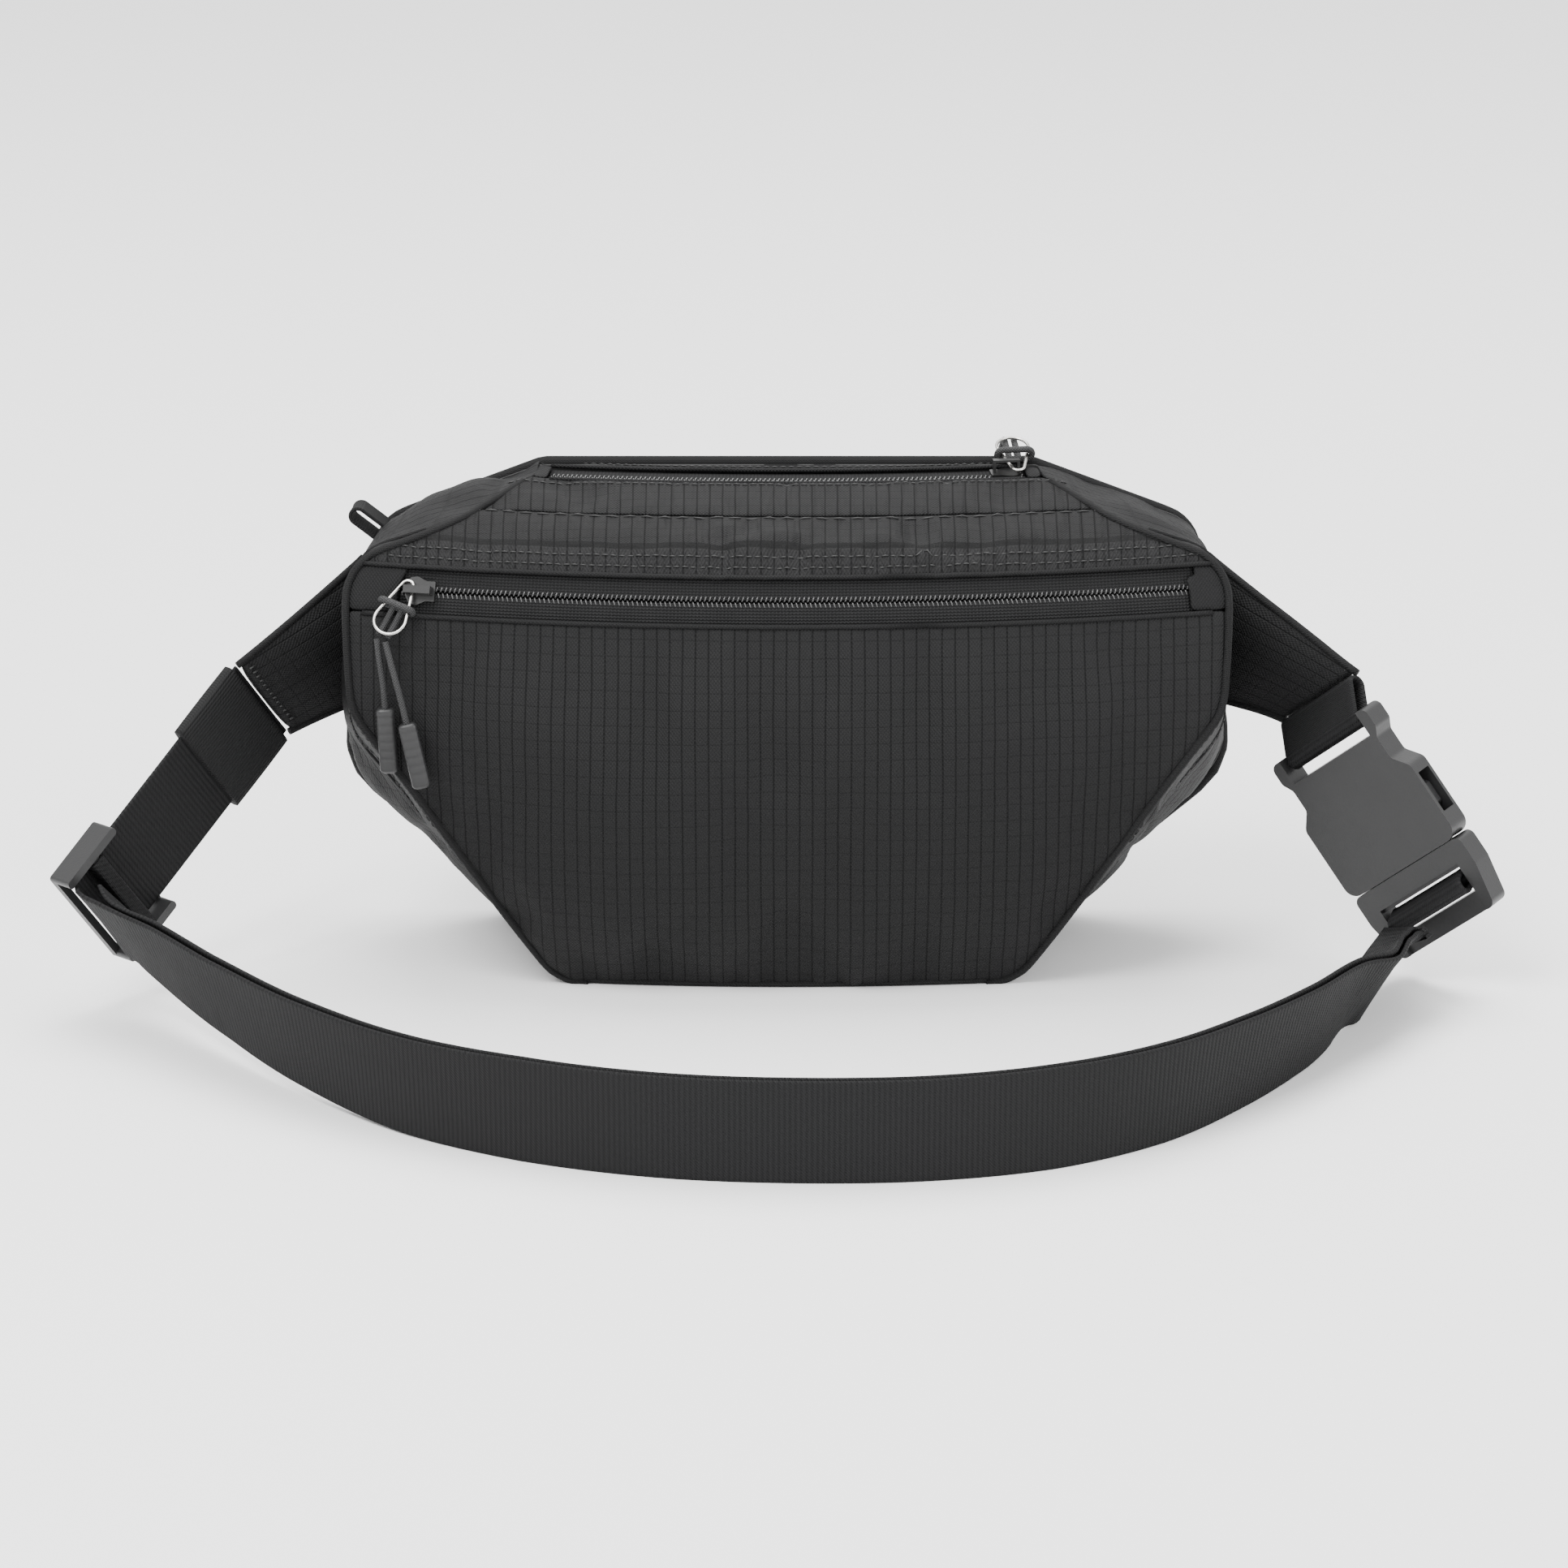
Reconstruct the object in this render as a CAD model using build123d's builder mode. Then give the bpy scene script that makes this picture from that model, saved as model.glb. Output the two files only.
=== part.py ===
from build123d import *
import math
import os

# A waist pack that stands upright on its base, with its closed belt lying in front of it on edge.
# Millimetres. +Z is up, the front faces -Y, and the origin is the middle of the base, on the ground.

# ---- the bag -------------------------------------------------------------------------------
cloth = 1.2                 # shell fabric with its coating
bag_height = 181.0
back_y = 42.0               # outer face of the back panel
front_plane_y = -60.0       # nothing of the bag stands further forward
back_corners = [(96, 0), (168, 62), (152, 158), (60, 193)]        # base, belly, shoulder, crown
front_corners = [(80, 0), (157, 122), (165.5, 164.3), (66, 193)]  # the same, at the front plane
corner_radii = [20, 26, 17, 30]

base_front = (-36, 0)       # side profile, as (y, z), from the base round to the back
bulge = (-54, 68)
zip_low = (-48.5, 146)
zip_high = (-41, 161.5)
fold = (-29, 171)
seam = (-12, 176)
main_zip_front_y = 14.0
main_zip_rear_y = 28.0
turn_axis_y = 673.0         # the profile is turned about an upright axis far behind the bag
turn_half = 15.0            # degrees to each side, more than the bag is wide

divider_y = -10.0
foam_thick = 4.8
pocket_half = 80.0
pocket_low = 14.0
pocket_high = 112.0

# ---- zips and their pulls --------------------------------------------------------------------
front_zip_left = -141.0     # between the start patch and the end tab
front_zip_right = 147.0
main_zip_half = 88.0
tape = 0.8
tape_sink = 1.5             # depth of the tape's face below the panels
coil_width = 1.6
coil_thick = 1.3
post_half = 0.4
slip = 0.3                  # clearance between pieces that slide or swing past each other
front_slider_x = -133.7
main_slider_x = 81.0
slider_half_length = 5.5
slider_half_width = 5.3
slider_plate = 1.3
under_plate = 1.0
bridge_width = 2.8
bridge_gap = 4.0
bridge_thick = 0.9
ring_wire = 1.2
ring_x = -2.2               # where the ring passes under the bridge
ring_top_r = 2.3
ring_low_r = 5.9
ring_reach = 14.0           # between the centres of the ring's two ends
ring_lift = 16.0            # degrees that the cords behind it hold the ring off the bag
front_ring_turn = 4.0
main_ring_turn = -14.9
hitch_slack = 0.3           # between the cord's hitch and the ring's arms
cord = 2.4
knot_drop = 8.5             # from the ring's top down its middle to the cord's hitch
leg_run = 12.1              # the hitch's legs, down to just past the ring's low end
cord_pair = 1.75            # half the spacing of the cord's two legs
end_width = 6.8
end_thick = 4.6
end_length = 25.0

# ---- webbing, belt and fittings --------------------------------------------------------------
webbing = 38.0
webbing_thick = 1.5
layer_gap = 1.3             # between the belt's two layers
wing_thick = 6.0
wing_end_thick = 4.0
wing_root_height = 56.0
bar_half = 2.0
edge_room = 1.2             # beside the webbing in a fitting
face_room = 0.5             # above and below it
end_bar = 3.0
rail = 3.4
glide_from = -13.0          # along the strap, from the glide's centre bar
glide_to = 15.0
sleeve_wall = 1.2
keeper_length = 32.0
keeper_wall = 1.6
left_wing_end = (-195, 3, 100)
tri_glide_at = (-246.5, -52, 44.7)
left_down = (0.44, 0.40, -0.80)        # across the left webbing, from its upper edge to its lower
keeper_drop = 19.0                     # from the wing's end to the keeper's middle

buckle_mouth = (231, -30, 47)
buckle_across = (0.633, -0.45, 0.632)
buckle_face = (-0.541, -0.841, -0.057)
buckle_half = 28.0
buckle_thick = 11.0
female_length = 58.0        # from the mouth to the ends of the ears
neck_from = 37.0
neck_to = 46.0
ear_from = 50.0
ear_slot = 12.0             # the webbing's slot, from the neck towards the ends of the ears
ear_half = 25.0
waist_half = 22.5
slot_ease = 0.2
cavity_half = 25.6
cavity_half_thick = 3.8
cavity_depth = 31.0
ear_bar_y = 55.5            # from the mouth to the webbing bar's middle
side_window = (9.0, 17.0)   # where the prongs show
side_window_x = 26.0
side_window_y = 18.5
male_length = 29.0
male_thick = 10.0
male_inset = 0.4            # the male's sides inside the female's
male_taper_y = -12.0
male_end_half = 24.0
ladder_bar_y = -15.0
ladder_slot = 10.6
ladder_slot_y = -15.7
web_half = 3.0              # the male's thinner middle, between its cheeks
web_length = 20.0
web_y = -19.0
tongue = (10.0, 27.0, 4.0)
tongue_y = 11.5
prong_root_x = 15.0
prong_root_y = 0.6
prong_half_thick = 3.0

os.makedirs("parts", exist_ok=True)
pieces = []


def keep(builder, label):
    builder.part.label = label
    pieces.append(builder)


def along(vector):
    return Vector(vector).normalized()


def flat(vector):
    return (vector.X, vector.Y)


def point_on(plane, local):
    return plane.from_local_coords(Vector(local))


def way_on(plane, local):
    return point_on(plane, local) - plane.origin


# ---- the overall shape, from which every panel of the bag is cut ------------------------------
def bag_block(inset):
    """The bag's outline from the front, tapering forward, drawn in by the inset."""
    with BuildPart() as block:
        for y, corners in ((back_y, back_corners), (front_plane_y, front_corners)):
            with BuildSketch(Plane.XZ.offset(-y)):
                with BuildLine():
                    FilletPolyline((0, 0), *corners, (0, corners[-1][1]), radius=corner_radii)
                    mirror(about=Plane.YZ)
                make_face()
                if inset:
                    offset(amount=-inset, kind=Kind.INTERSECTION)
        loft(ruled=True)
    return block.part


turn_axis = Axis((0, turn_axis_y, 0), (0, 0, 1))


def turn_plane(angle):
    """Upright plane through the turn axis; its x runs backwards, and angle 0 is the middle of the bag."""
    turn = math.radians(angle)
    return Plane(
        origin=(0, turn_axis_y, 0),
        x_dir=(-math.sin(turn), math.cos(turn), 0),
        z_dir=(math.cos(turn), math.sin(turn), 0),
    )


def at(point):
    return (point[0] - turn_axis_y, point[1])


def angle_at(x, y):
    """Angle about the turn axis of a point that is x to the side on the profile's point y."""
    return math.degrees(math.asin(x / (turn_axis_y - y)))


def side_turn(inset):
    """The bag's side profile, turned about the far axis, drawn in by the inset."""
    behind = back_y + 20
    with BuildPart() as body:
        with BuildSketch(turn_plane(-turn_half)):
            with BuildLine():
                ThreePointArc(at(base_front), at(bulge), at(zip_low))
                Line(at(zip_low), at(zip_high))
                ThreePointArc(at(zip_high), at(fold), at(seam))
                Polyline(
                    at(seam),
                    at((main_zip_front_y, bag_height)),
                    at((behind, bag_height)),
                    at((behind, 0)),
                    at(base_front),
                )
            make_face()
            if inset:
                offset(amount=-inset, kind=Kind.INTERSECTION)
        revolve(axis=turn_axis, revolution_arc=2 * turn_half)
    return body.part


outer_block = bag_block(0)
inner_block = bag_block(cloth)
outer_turn = side_turn(0)
inner_turn = side_turn(cloth)
wide = 700.0


def cut_box(low, high):
    """A box between two corners, to keep a panel's share of the bag's shape."""
    size = [b - a for a, b in zip(low, high)]
    middle = [(a + b) / 2 for a, b in zip(low, high)]
    return Pos(*middle) * Box(*size, mode=Mode.PRIVATE)


def between_y(y_from, y_to):
    return cut_box((-wide / 2, y_from, -1), (wide / 2, y_to, bag_height + 30))


def between_z(z_from, z_to, x_from=-wide / 2, x_to=wide / 2):
    return cut_box((x_from, -wide / 2, z_from), (x_to, wide / 2, z_to))


def turned_band(y_from, y_to, z_from, z_to, half_angle=turn_half):
    """A block between two distances from the turn axis, for seams that follow the turned front."""
    with BuildPart() as band:
        with BuildSketch(turn_plane(-half_angle)):
            with Locations(at(((y_from + y_to) / 2, (z_from + z_to) / 2))):
                Rectangle(y_to - y_from, z_to - z_from)
        revolve(axis=turn_axis, revolution_arc=2 * half_angle)
    return band.part


with BuildPart() as skin:
    add(outer_turn)
    add(inner_turn, mode=Mode.SUBTRACT)
    add(outer_block, mode=Mode.INTERSECT)

with BuildPart() as ring_wall:
    add(outer_block)
    add(inner_block, mode=Mode.SUBTRACT)
    add(inner_turn, mode=Mode.INTERSECT)

lining_y = back_y - 2 * cloth - foam_thick

# ---- panels ------------------------------------------------------------------------------------
with BuildPart() as back_panel:
    add(outer_block)
    add(outer_turn, mode=Mode.INTERSECT)
    add(between_y(back_y - cloth, back_y), mode=Mode.INTERSECT)
keep(back_panel, "back_panel")

with BuildPart() as back_foam:
    add(inner_block)
    add(inner_turn, mode=Mode.INTERSECT)
    add(between_y(lining_y + cloth, back_y - cloth), mode=Mode.INTERSECT)
keep(back_foam, "back_foam")

with BuildPart() as back_binding:
    add(outer_block)
    add(outer_turn, mode=Mode.INTERSECT)
    add(between_y(lining_y + cloth, back_y - cloth), mode=Mode.INTERSECT)
    add(back_foam.part, mode=Mode.SUBTRACT)
keep(back_binding, "back_binding")

with BuildPart() as back_lining:
    add(outer_block)
    add(outer_turn, mode=Mode.INTERSECT)
    add(between_y(lining_y, lining_y + cloth), mode=Mode.INTERSECT)
keep(back_lining, "back_lining")

with BuildPart() as base_panel:
    add(skin.part)
    add(between_z(-1, cloth), mode=Mode.INTERSECT)
    add(between_y(-wide / 2, lining_y), mode=Mode.INTERSECT)
keep(base_panel, "base_panel")

with BuildPart() as divider_panel:
    add(outer_block)
    add(inner_turn, mode=Mode.INTERSECT)
    add(between_y(divider_y, divider_y + cloth), mode=Mode.INTERSECT)
keep(divider_panel, "divider_panel")

with BuildPart() as inner_pocket:
    add(cut_box(
        (-pocket_half, divider_y + cloth, pocket_low),
        (pocket_half, divider_y + 2 * cloth, pocket_high),
    ))
    fillet(inner_pocket.edges().filter_by(Axis.Y), 12)
keep(inner_pocket, "inner_pocket")

for label, y_from, y_to in (
    ("side_gusset", divider_y + cloth, lining_y),
    ("pocket_gusset", -wide / 2, divider_y),
):
    for side, x_from, x_to in (("left", -wide / 2, 0), ("right", 0, wide / 2)):
        with BuildPart() as gusset:
            add(ring_wall.part)
            add(cut_box((x_from, y_from, -1), (x_to, y_to, bag_height + 30)), mode=Mode.INTERSECT)
        keep(gusset, f"{label}_{side}")

with BuildPart() as front_lower_panel:
    add(skin.part)
    add(between_z(cloth, zip_low[1]), mode=Mode.INTERSECT)
keep(front_lower_panel, "front_lower_panel")

with BuildPart() as zip_start_patch:
    add(skin.part)
    add(between_z(zip_low[1], zip_high[1], x_to=front_zip_left), mode=Mode.INTERSECT)
keep(zip_start_patch, "zip_start_patch")

with BuildPart() as zip_end_tab:
    add(skin.part)
    add(between_z(zip_low[1], zip_high[1], x_from=front_zip_right), mode=Mode.INTERSECT)
keep(zip_end_tab, "zip_end_tab")

with BuildPart() as front_upper_panel:
    add(skin.part)
    add(between_z(zip_high[1], seam[1]), mode=Mode.INTERSECT)
keep(front_upper_panel, "front_upper_panel")

top = between_z(seam[1], bag_height + 1)
before_zip = turned_band(seam[0] - 20, main_zip_front_y, seam[1] - 5, bag_height + 1)
behind_zip = turned_band(main_zip_rear_y, back_y + 20, seam[1] - 5, bag_height + 1)
zip_slot = turned_band(main_zip_front_y, main_zip_rear_y, seam[1] - 5, bag_height + 1)
with BuildPart() as top_gusset_front:
    add(skin.part)
    add(top, mode=Mode.INTERSECT)
    add(before_zip, mode=Mode.INTERSECT)
keep(top_gusset_front, "top_gusset_front")

with BuildPart() as top_gusset_rear:
    add(skin.part)
    add(top, mode=Mode.INTERSECT)
    add(behind_zip, mode=Mode.INTERSECT)
    add(between_y(-wide / 2, lining_y), mode=Mode.INTERSECT)
keep(top_gusset_rear, "top_gusset_rear")

for side, label in ((-1, "main_zip_end_left"), (1, "main_zip_end_right")):
    near, far = sorted((side * main_zip_half, side * wide / 2))
    with BuildPart() as zip_end:
        add(skin.part)
        add(zip_slot, mode=Mode.INTERSECT)
        add(between_z(seam[1], bag_height + 1, near, far), mode=Mode.INTERSECT)
        add(between_y(-wide / 2, lining_y), mode=Mode.INTERSECT)
    keep(zip_end, label)


# ---- zips --------------------------------------------------------------------------------------
class Zip:
    """A zip that follows the turned front: its middle on the profile and the way it faces."""

    def __init__(self, low, high, x_from, x_to):
        self.middle = ((low[0] + high[0]) / 2, (low[1] + high[1]) / 2)
        self.half = math.dist(low, high) / 2
        self.lean = math.atan2(high[0] - low[0], high[1] - low[1])
        self.start = angle_at(x_from, self.middle[0])
        self.arc = angle_at(x_to, self.middle[0]) - self.start

    def strip(self, up, depth, width, thick):
        """A strip along the zip: up across it and depth below the panels' faces, both at its middle."""
        rise, run = math.cos(self.lean), math.sin(self.lean)
        y = self.middle[0] + up * run + depth * rise
        z = self.middle[1] + up * rise - depth * run
        with BuildPart() as body:
            with BuildSketch(turn_plane(self.start)):
                with Locations(Location((y - turn_axis_y, z), 90 - math.degrees(self.lean))):
                    Rectangle(width, thick)
            revolve(axis=turn_axis, revolution_arc=self.arc)
        return body

    def plane(self, x, flip=1):
        """On the tape's face at x: local x along the zip, z out of it. flip -1 turns it half round."""
        turn = math.radians(angle_at(x, self.middle[0]))
        forward = Vector(math.sin(turn), -math.cos(turn), 0)
        tangent = Vector(math.cos(turn), math.sin(turn), 0)
        normal = forward * math.cos(self.lean) + Vector(0, 0, math.sin(self.lean))
        centre = Vector(0, turn_axis_y, self.middle[1]) + forward * (turn_axis_y - self.middle[0])
        return Plane(origin=centre - normal * tape_sink, x_dir=tangent * flip, z_dir=normal)


front_zip = Zip(zip_low, zip_high, front_zip_left, front_zip_right)
main_zip = Zip(
    (main_zip_front_y, bag_height), (main_zip_rear_y, bag_height), -main_zip_half, main_zip_half
)
slot_half = post_half + slip
for zipper, name, sides in (
    (front_zip, "front_zip", ("lower", "upper")),
    (main_zip, "main_zip", ("front", "rear")),
):
    for sign, side in zip((-1, 1), sides):
        width = zipper.half - slot_half
        strip = zipper.strip(sign * (slot_half + width / 2), tape_sink + tape / 2, width, tape)
        keep(strip, f"{name}_tape_{side}")
        coil = zipper.strip(
            sign * (slot_half + coil_width / 2), tape_sink + tape + coil_thick / 2, coil_width, coil_thick
        )
        keep(coil, f"{name}_coil_{side}")


# ---- sliders, rings and pulls ------------------------------------------------------------------
plate_low = slip
plate_high = plate_low + slider_plate
under_high = -tape - coil_thick - slip
wire_height = plate_high + bridge_gap / 2
bridge_top = plate_high + bridge_gap + bridge_thick
bridge_from = -5.3
bridge_to = 4.7
foot = 1.0


def slider_body(plane):
    """Shoulders at the leading end (-x), a square tail, a post between the tapes and a bridge on top."""
    with BuildPart() as slider:
        for low, thick in ((plate_low, slider_plate), (under_high - under_plate, under_plate)):
            with BuildSketch(plane.offset(low)):
                with BuildLine():
                    FilletPolyline(
                        (slider_half_length, 0),
                        (slider_half_length, 3.7),
                        (2.2, 3.7),
                        (-1.2, slider_half_width),
                        (-4.0, slider_half_width - 0.6),
                        (-slider_half_length, 1.8),
                        (-slider_half_length, 0),
                        radius=[0.4, 2.0, 1.6, 1.0, 1.2],
                    )
                    mirror(about=Plane.XZ)
                make_face()
            extrude(amount=thick)
        with BuildSketch(plane.offset(under_high - under_plate / 2)):
            with Locations((-3.2, 0)):
                Rectangle(3.0, 2 * post_half)
        extrude(amount=plate_low + slider_plate / 2 - under_high + under_plate / 2)
        with BuildSketch(plane.offset(plate_high - slider_plate / 2)):
            with Locations((bridge_from + foot / 2, 0), (bridge_to - foot / 2, 0)):
                Rectangle(foot, bridge_width)
        extrude(amount=bridge_top - bridge_thick / 2 - plate_high + slider_plate / 2)
        with BuildSketch(plane.offset(bridge_top - bridge_thick)):
            with Locations(((bridge_from + bridge_to) / 2, 0)):
                Rectangle(bridge_to - bridge_from, bridge_width)
        extrude(amount=bridge_thick)
    return slider


def ring_plane(plane, turn):
    """Plane of the pull's ring: its y runs up the arm that lies under the bridge."""
    return Plane(plane.location * Location((ring_x, 0, wire_height), (-ring_lift, 0, 0))
                 * Location((0, 0, 0), (0, 0, -turn)))


top_centre = Vector(-ring_top_r, 1.0)
half_open = math.asin((ring_low_r - ring_top_r) / ring_reach)
low_centre = Vector(-ring_low_r, top_centre.Y - ring_reach * math.cos(half_open))
left_normal = Vector(-math.cos(2 * half_open), math.sin(2 * half_open))
axis_way = Vector(-math.sin(half_open), -math.cos(half_open))
axis_normal = Vector(-math.cos(half_open), math.sin(half_open))


def pull_ring(plane):
    """A teardrop of wire, narrow at the bridge and round at its low end."""
    right = (0, top_centre.Y)
    right_low = (0, low_centre.Y)
    left_low = flat(low_centre + left_normal * ring_low_r)
    left = flat(top_centre + left_normal * ring_top_r)
    with BuildPart() as ring:
        with BuildLine(plane) as path:
            Line(right, right_low)
            ThreePointArc(right_low, flat(low_centre + axis_way * ring_low_r), left_low)
            Line(left_low, left)
            ThreePointArc(left, flat(top_centre - axis_way * ring_top_r), right)
        with BuildSketch(Plane(origin=path.line @ 0, z_dir=path.line % 0)):
            Circle(ring_wire / 2)
        sweep()
    return ring


hitch_rise = (ring_wire + cord) / 2 + hitch_slack


def cord_hitch(plane):
    """The cord's loop round the ring's two arms, and its two legs down behind the ring."""
    centre = top_centre + axis_way * knot_drop
    arm_half = ring_top_r + knot_drop * math.sin(half_open)
    straight = arm_half
    loop_plane = Plane(
        origin=point_on(plane, centre),
        x_dir=way_on(plane, axis_normal),
        z_dir=way_on(plane, axis_way),
    )
    with BuildPart() as hitch:
        with BuildLine(loop_plane) as path:
            Line((-straight, hitch_rise), (straight, hitch_rise))
            ThreePointArc((straight, hitch_rise), (straight + hitch_rise, 0), (straight, -hitch_rise))
            Line((straight, -hitch_rise), (-straight, -hitch_rise))
            ThreePointArc((-straight, -hitch_rise), (-straight - hitch_rise, 0), (-straight, hitch_rise))
        with BuildSketch(Plane(origin=path.line @ 0, z_dir=path.line % 0)):
            Circle(cord / 2)
        sweep()
        behind = plane.offset(-hitch_rise)
        for side in (-1, 1):
            start = centre + axis_normal * (side * cord_pair)
            with BuildSketch(Plane(
                origin=point_on(behind, start),
                z_dir=way_on(plane, axis_way),
            )):
                Circle(cord / 2)
            extrude(amount=leg_run)
    return hitch


def cord_end_plane(start, end):
    """Where a cord ends: z runs on along the cord, x to the side."""
    way = along(Vector(end) - Vector(start))
    return Plane(origin=end, x_dir=along(Vector(0, 1, 0).cross(way)), z_dir=way)


def route_radii(route):
    """The largest arcs that the cord's runs allow."""
    radii = []
    points = [Vector(p) for p in route]
    for before, here, after in zip(points, points[1:], points[2:]):
        turn = (here - before).get_angle(after - here)
        run = min((here - before).length, (after - here).length)
        radii.append(0.45 * run / math.tan(math.radians(turn / 2)))
    return radii


def hanging_cord(route):
    """A cord's leg from the ring to its rubber end, round at its top, where it bends."""
    radii = route_radii(route)
    print("cord radii", [round(r, 1) for r in radii])
    with BuildPart() as body:
        with BuildLine() as path:
            FilletPolyline(*route, radius=radii)
        start = path.wires()[0]
        with BuildSketch(Plane(origin=start @ 0, z_dir=start % 0)):
            Circle(cord / 2)
        sweep()
        with Locations(route[0]):
            Sphere(cord / 2)
    return body


def rubber_end(plane):
    """A flat moulded end with a rounded outline, on the end of a cord."""
    with BuildPart() as body:
        with BuildSketch(plane):
            RectangleRounded(end_width, end_thick, 1.8)
        extrude(amount=end_length)
        fillet(body.edges().group_by(SortBy.LENGTH)[0], 0.5)
    return body


pull_routes = {
    "front": (
        [(-149.15, -42.61, 138.97), (-148.3, -44.2, 131.0), (-147.0, -44.8, 122.0), (-146.6, -44.6, 112.8)],
        [(-146.04, -43.97, 138.12), (-143.8, -47.0, 130.0), (-141.0, -48.6, 119.5), (-138.6, -49.2, 108.5)],
    ),
    "main": (
        [
            (81.24, 47.71, 187.07),
            (80.2, back_y + 10.0, 182.4),
            (78.4, back_y + 10.6, 172.0),
            (77.9, back_y + 10.2, 161.5),
        ],
        [
            (84.71, 48.15, 187.07),
            (85.8, back_y + 10.4, 182.2),
            (87.6, back_y + 10.8, 171.5),
            (88.0, back_y + 10.3, 160.5),
        ],
    ),
}


def print_places(name, plane):
    """Where the cord's legs leave the hitch, and the two hinges of the pull."""
    centre = top_centre + axis_way * (knot_drop + leg_run + cord / 2 + slip)
    for side in (-1, 1):
        spot = point_on(plane.offset(-hitch_rise), centre + axis_normal * (side * cord_pair))
        print(name, side, [round(v, 2) for v in spot])
    print(name, "ring hinge", [round(v, 2) for v in plane.origin], [round(v, 5) for v in plane.y_dir])
    print(name, "cord hinge way", [round(v, 5) for v in way_on(plane, axis_normal)])


for name, zipper, x, flip, turn in (
    ("front", front_zip, front_slider_x, 1, front_ring_turn),
    ("main", main_zip, main_slider_x, -1, main_ring_turn),
):
    base = zipper.plane(x, flip)
    hung = ring_plane(base, turn)
    keep(slider_body(base), f"{name}_slider")
    keep(pull_ring(hung), f"{name}_ring")
    keep(cord_hitch(hung), f"{name}_cord_hitch")
    print_places(name, hung)
    for side, route in zip(("left", "right"), pull_routes[name]):
        keep(hanging_cord(route), f"{name}_cord_{side}")
        keep(rubber_end(cord_end_plane(route[-2], route[-1])), f"{name}_cord_end_{side}")

# ---- wings and webbing ---------------------------------------------------------------------------
strap_way = along(Vector(tri_glide_at) - Vector(left_wing_end))
right_down = -along(buckle_across)


def strip_plane(origin, across, way):
    """A section of webbing: x runs across it to its upper edge, z along it."""
    way = along(way)
    across = along(Vector(across) - way * Vector(across).dot(way))
    return Plane(origin=origin, x_dir=across, z_dir=way)


def wing(root, end, down, way):
    """A padded panel from the back panel's side to the end that holds the webbing."""
    outward = Vector(1 if root[0] > 0 else -1, 0, 0)
    with BuildPart() as body:
        with BuildSketch(Plane(origin=root, x_dir=(0, 0, 1), z_dir=outward)):
            Rectangle(wing_root_height, wing_thick)
        with BuildSketch(strip_plane(end, -Vector(down), way)):
            Rectangle(webbing, wing_end_thick)
        loft(ruled=True)
        add(outer_block, mode=Mode.SUBTRACT)
    return body


keep(wing((-156, back_y - 8, 121), left_wing_end, left_down, strap_way), "left_wing")

buckle_plane = Plane(origin=buckle_mouth, x_dir=buckle_across, z_dir=buckle_face)
ear_bar = point_on(buckle_plane, (0, ear_bar_y, 0))
loop_half = bar_half + slip + webbing_thick / 2
right_wing_end = (193, 6, 97)
loop_way = Vector(right_wing_end) - ear_bar
loop_way = along(loop_way - buckle_plane.x_dir * loop_way.dot(buckle_plane.x_dir))
loop_reach = 14.0
right_end = ear_bar + loop_way * (loop_reach + loop_half + webbing_thick / 2 + slip)
keep(wing((156, back_y - 8, 121), right_end, right_down, -loop_way), "right_wing")

loop_plane = Plane(origin=ear_bar, x_dir=loop_way, z_dir=buckle_plane.x_dir)
with BuildPart() as right_webbing_loop:
    with BuildSketch(loop_plane.offset(-webbing / 2)):
        with Locations((loop_reach / 2, 0)):
            SlotCenterToCenter(loop_reach, 2 * loop_half + webbing_thick)
            SlotCenterToCenter(loop_reach, 2 * loop_half - webbing_thick, mode=Mode.SUBTRACT)
    extrude(amount=webbing)
keep(right_webbing_loop, "right_webbing_loop")

with BuildPart() as hang_loop:
    with BuildSketch(Plane(origin=(-149, 24, 155), x_dir=(-0.8, 0.1, 0.6), z_dir=(0, 1, 0))):
        with Locations((4, 0)):
            SlotCenterToCenter(11, 7)
            SlotCenterToCenter(11, 4.6, mode=Mode.SUBTRACT)
    extrude(amount=10)
    add(outer_block, mode=Mode.SUBTRACT)
keep(hang_loop, "hang_loop")

# ---- belt: the middle of its two layers and the way of its upper edge, from the left wing on -----
left_up = -Vector(left_down)
tri = Vector(tri_glide_at)
outward = strip_plane(tri, left_up, strap_way).y_dir       # out of the belt's loop
strap_route = [
    (Vector(left_wing_end) + strap_way * slip, left_up),
    (tri - strap_way * 8, left_up),
    (tri + strap_way * 4, left_up),
    (tri + strap_way * 12 - outward * 4.6, (-0.40, -0.46, 0.79)),
]
belt_route = [
    ((-241.5, -70.5, 35.4), (-0.25, -0.56, 0.79)),
    ((-227, -84, 31.0), (0, -0.62, 0.78)),
    ((-203, -112, 26.5), (0.06, -0.55, 0.83)),
    ((-173, -144, 22.5), (0.03, -0.35, 0.94)),
    ((-135, -175, 19.6), (0, -0.12, 0.99)),
    ((-92, -197, 19.0), (0, 0, 1)),
    ((-46, -211, 19.0), (0, 0, 1)),
    ((2, -216, 19.0), (0, 0, 1)),
    ((50, -214, 19.0), (0, 0, 1)),
    ((94, -203, 19.0), (0, 0, 1)),
    ((132, -182, 19.0), (0, -0.1, 1)),
    ((162, -153, 18.9), (-0.03, -0.3, 0.95)),
    ((186, -123, 19.0), (-0.05, -0.5, 0.86)),
    ((203, -96, 19.4), (0, -0.64, 0.77)),
    ((214, -80, 18.4), (0.08, -0.74, 0.67)),
    ((218.5, -66, 18.8), (0.25, -0.75, 0.61)),
    ((220.8, -57, 20.6), (0.42, -0.70, 0.57)),
    ((224.6, -50.6, 22.8), (0.52, -0.63, 0.57)),
    ((229.0, -47.1, 26.6), buckle_across),
]


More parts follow.
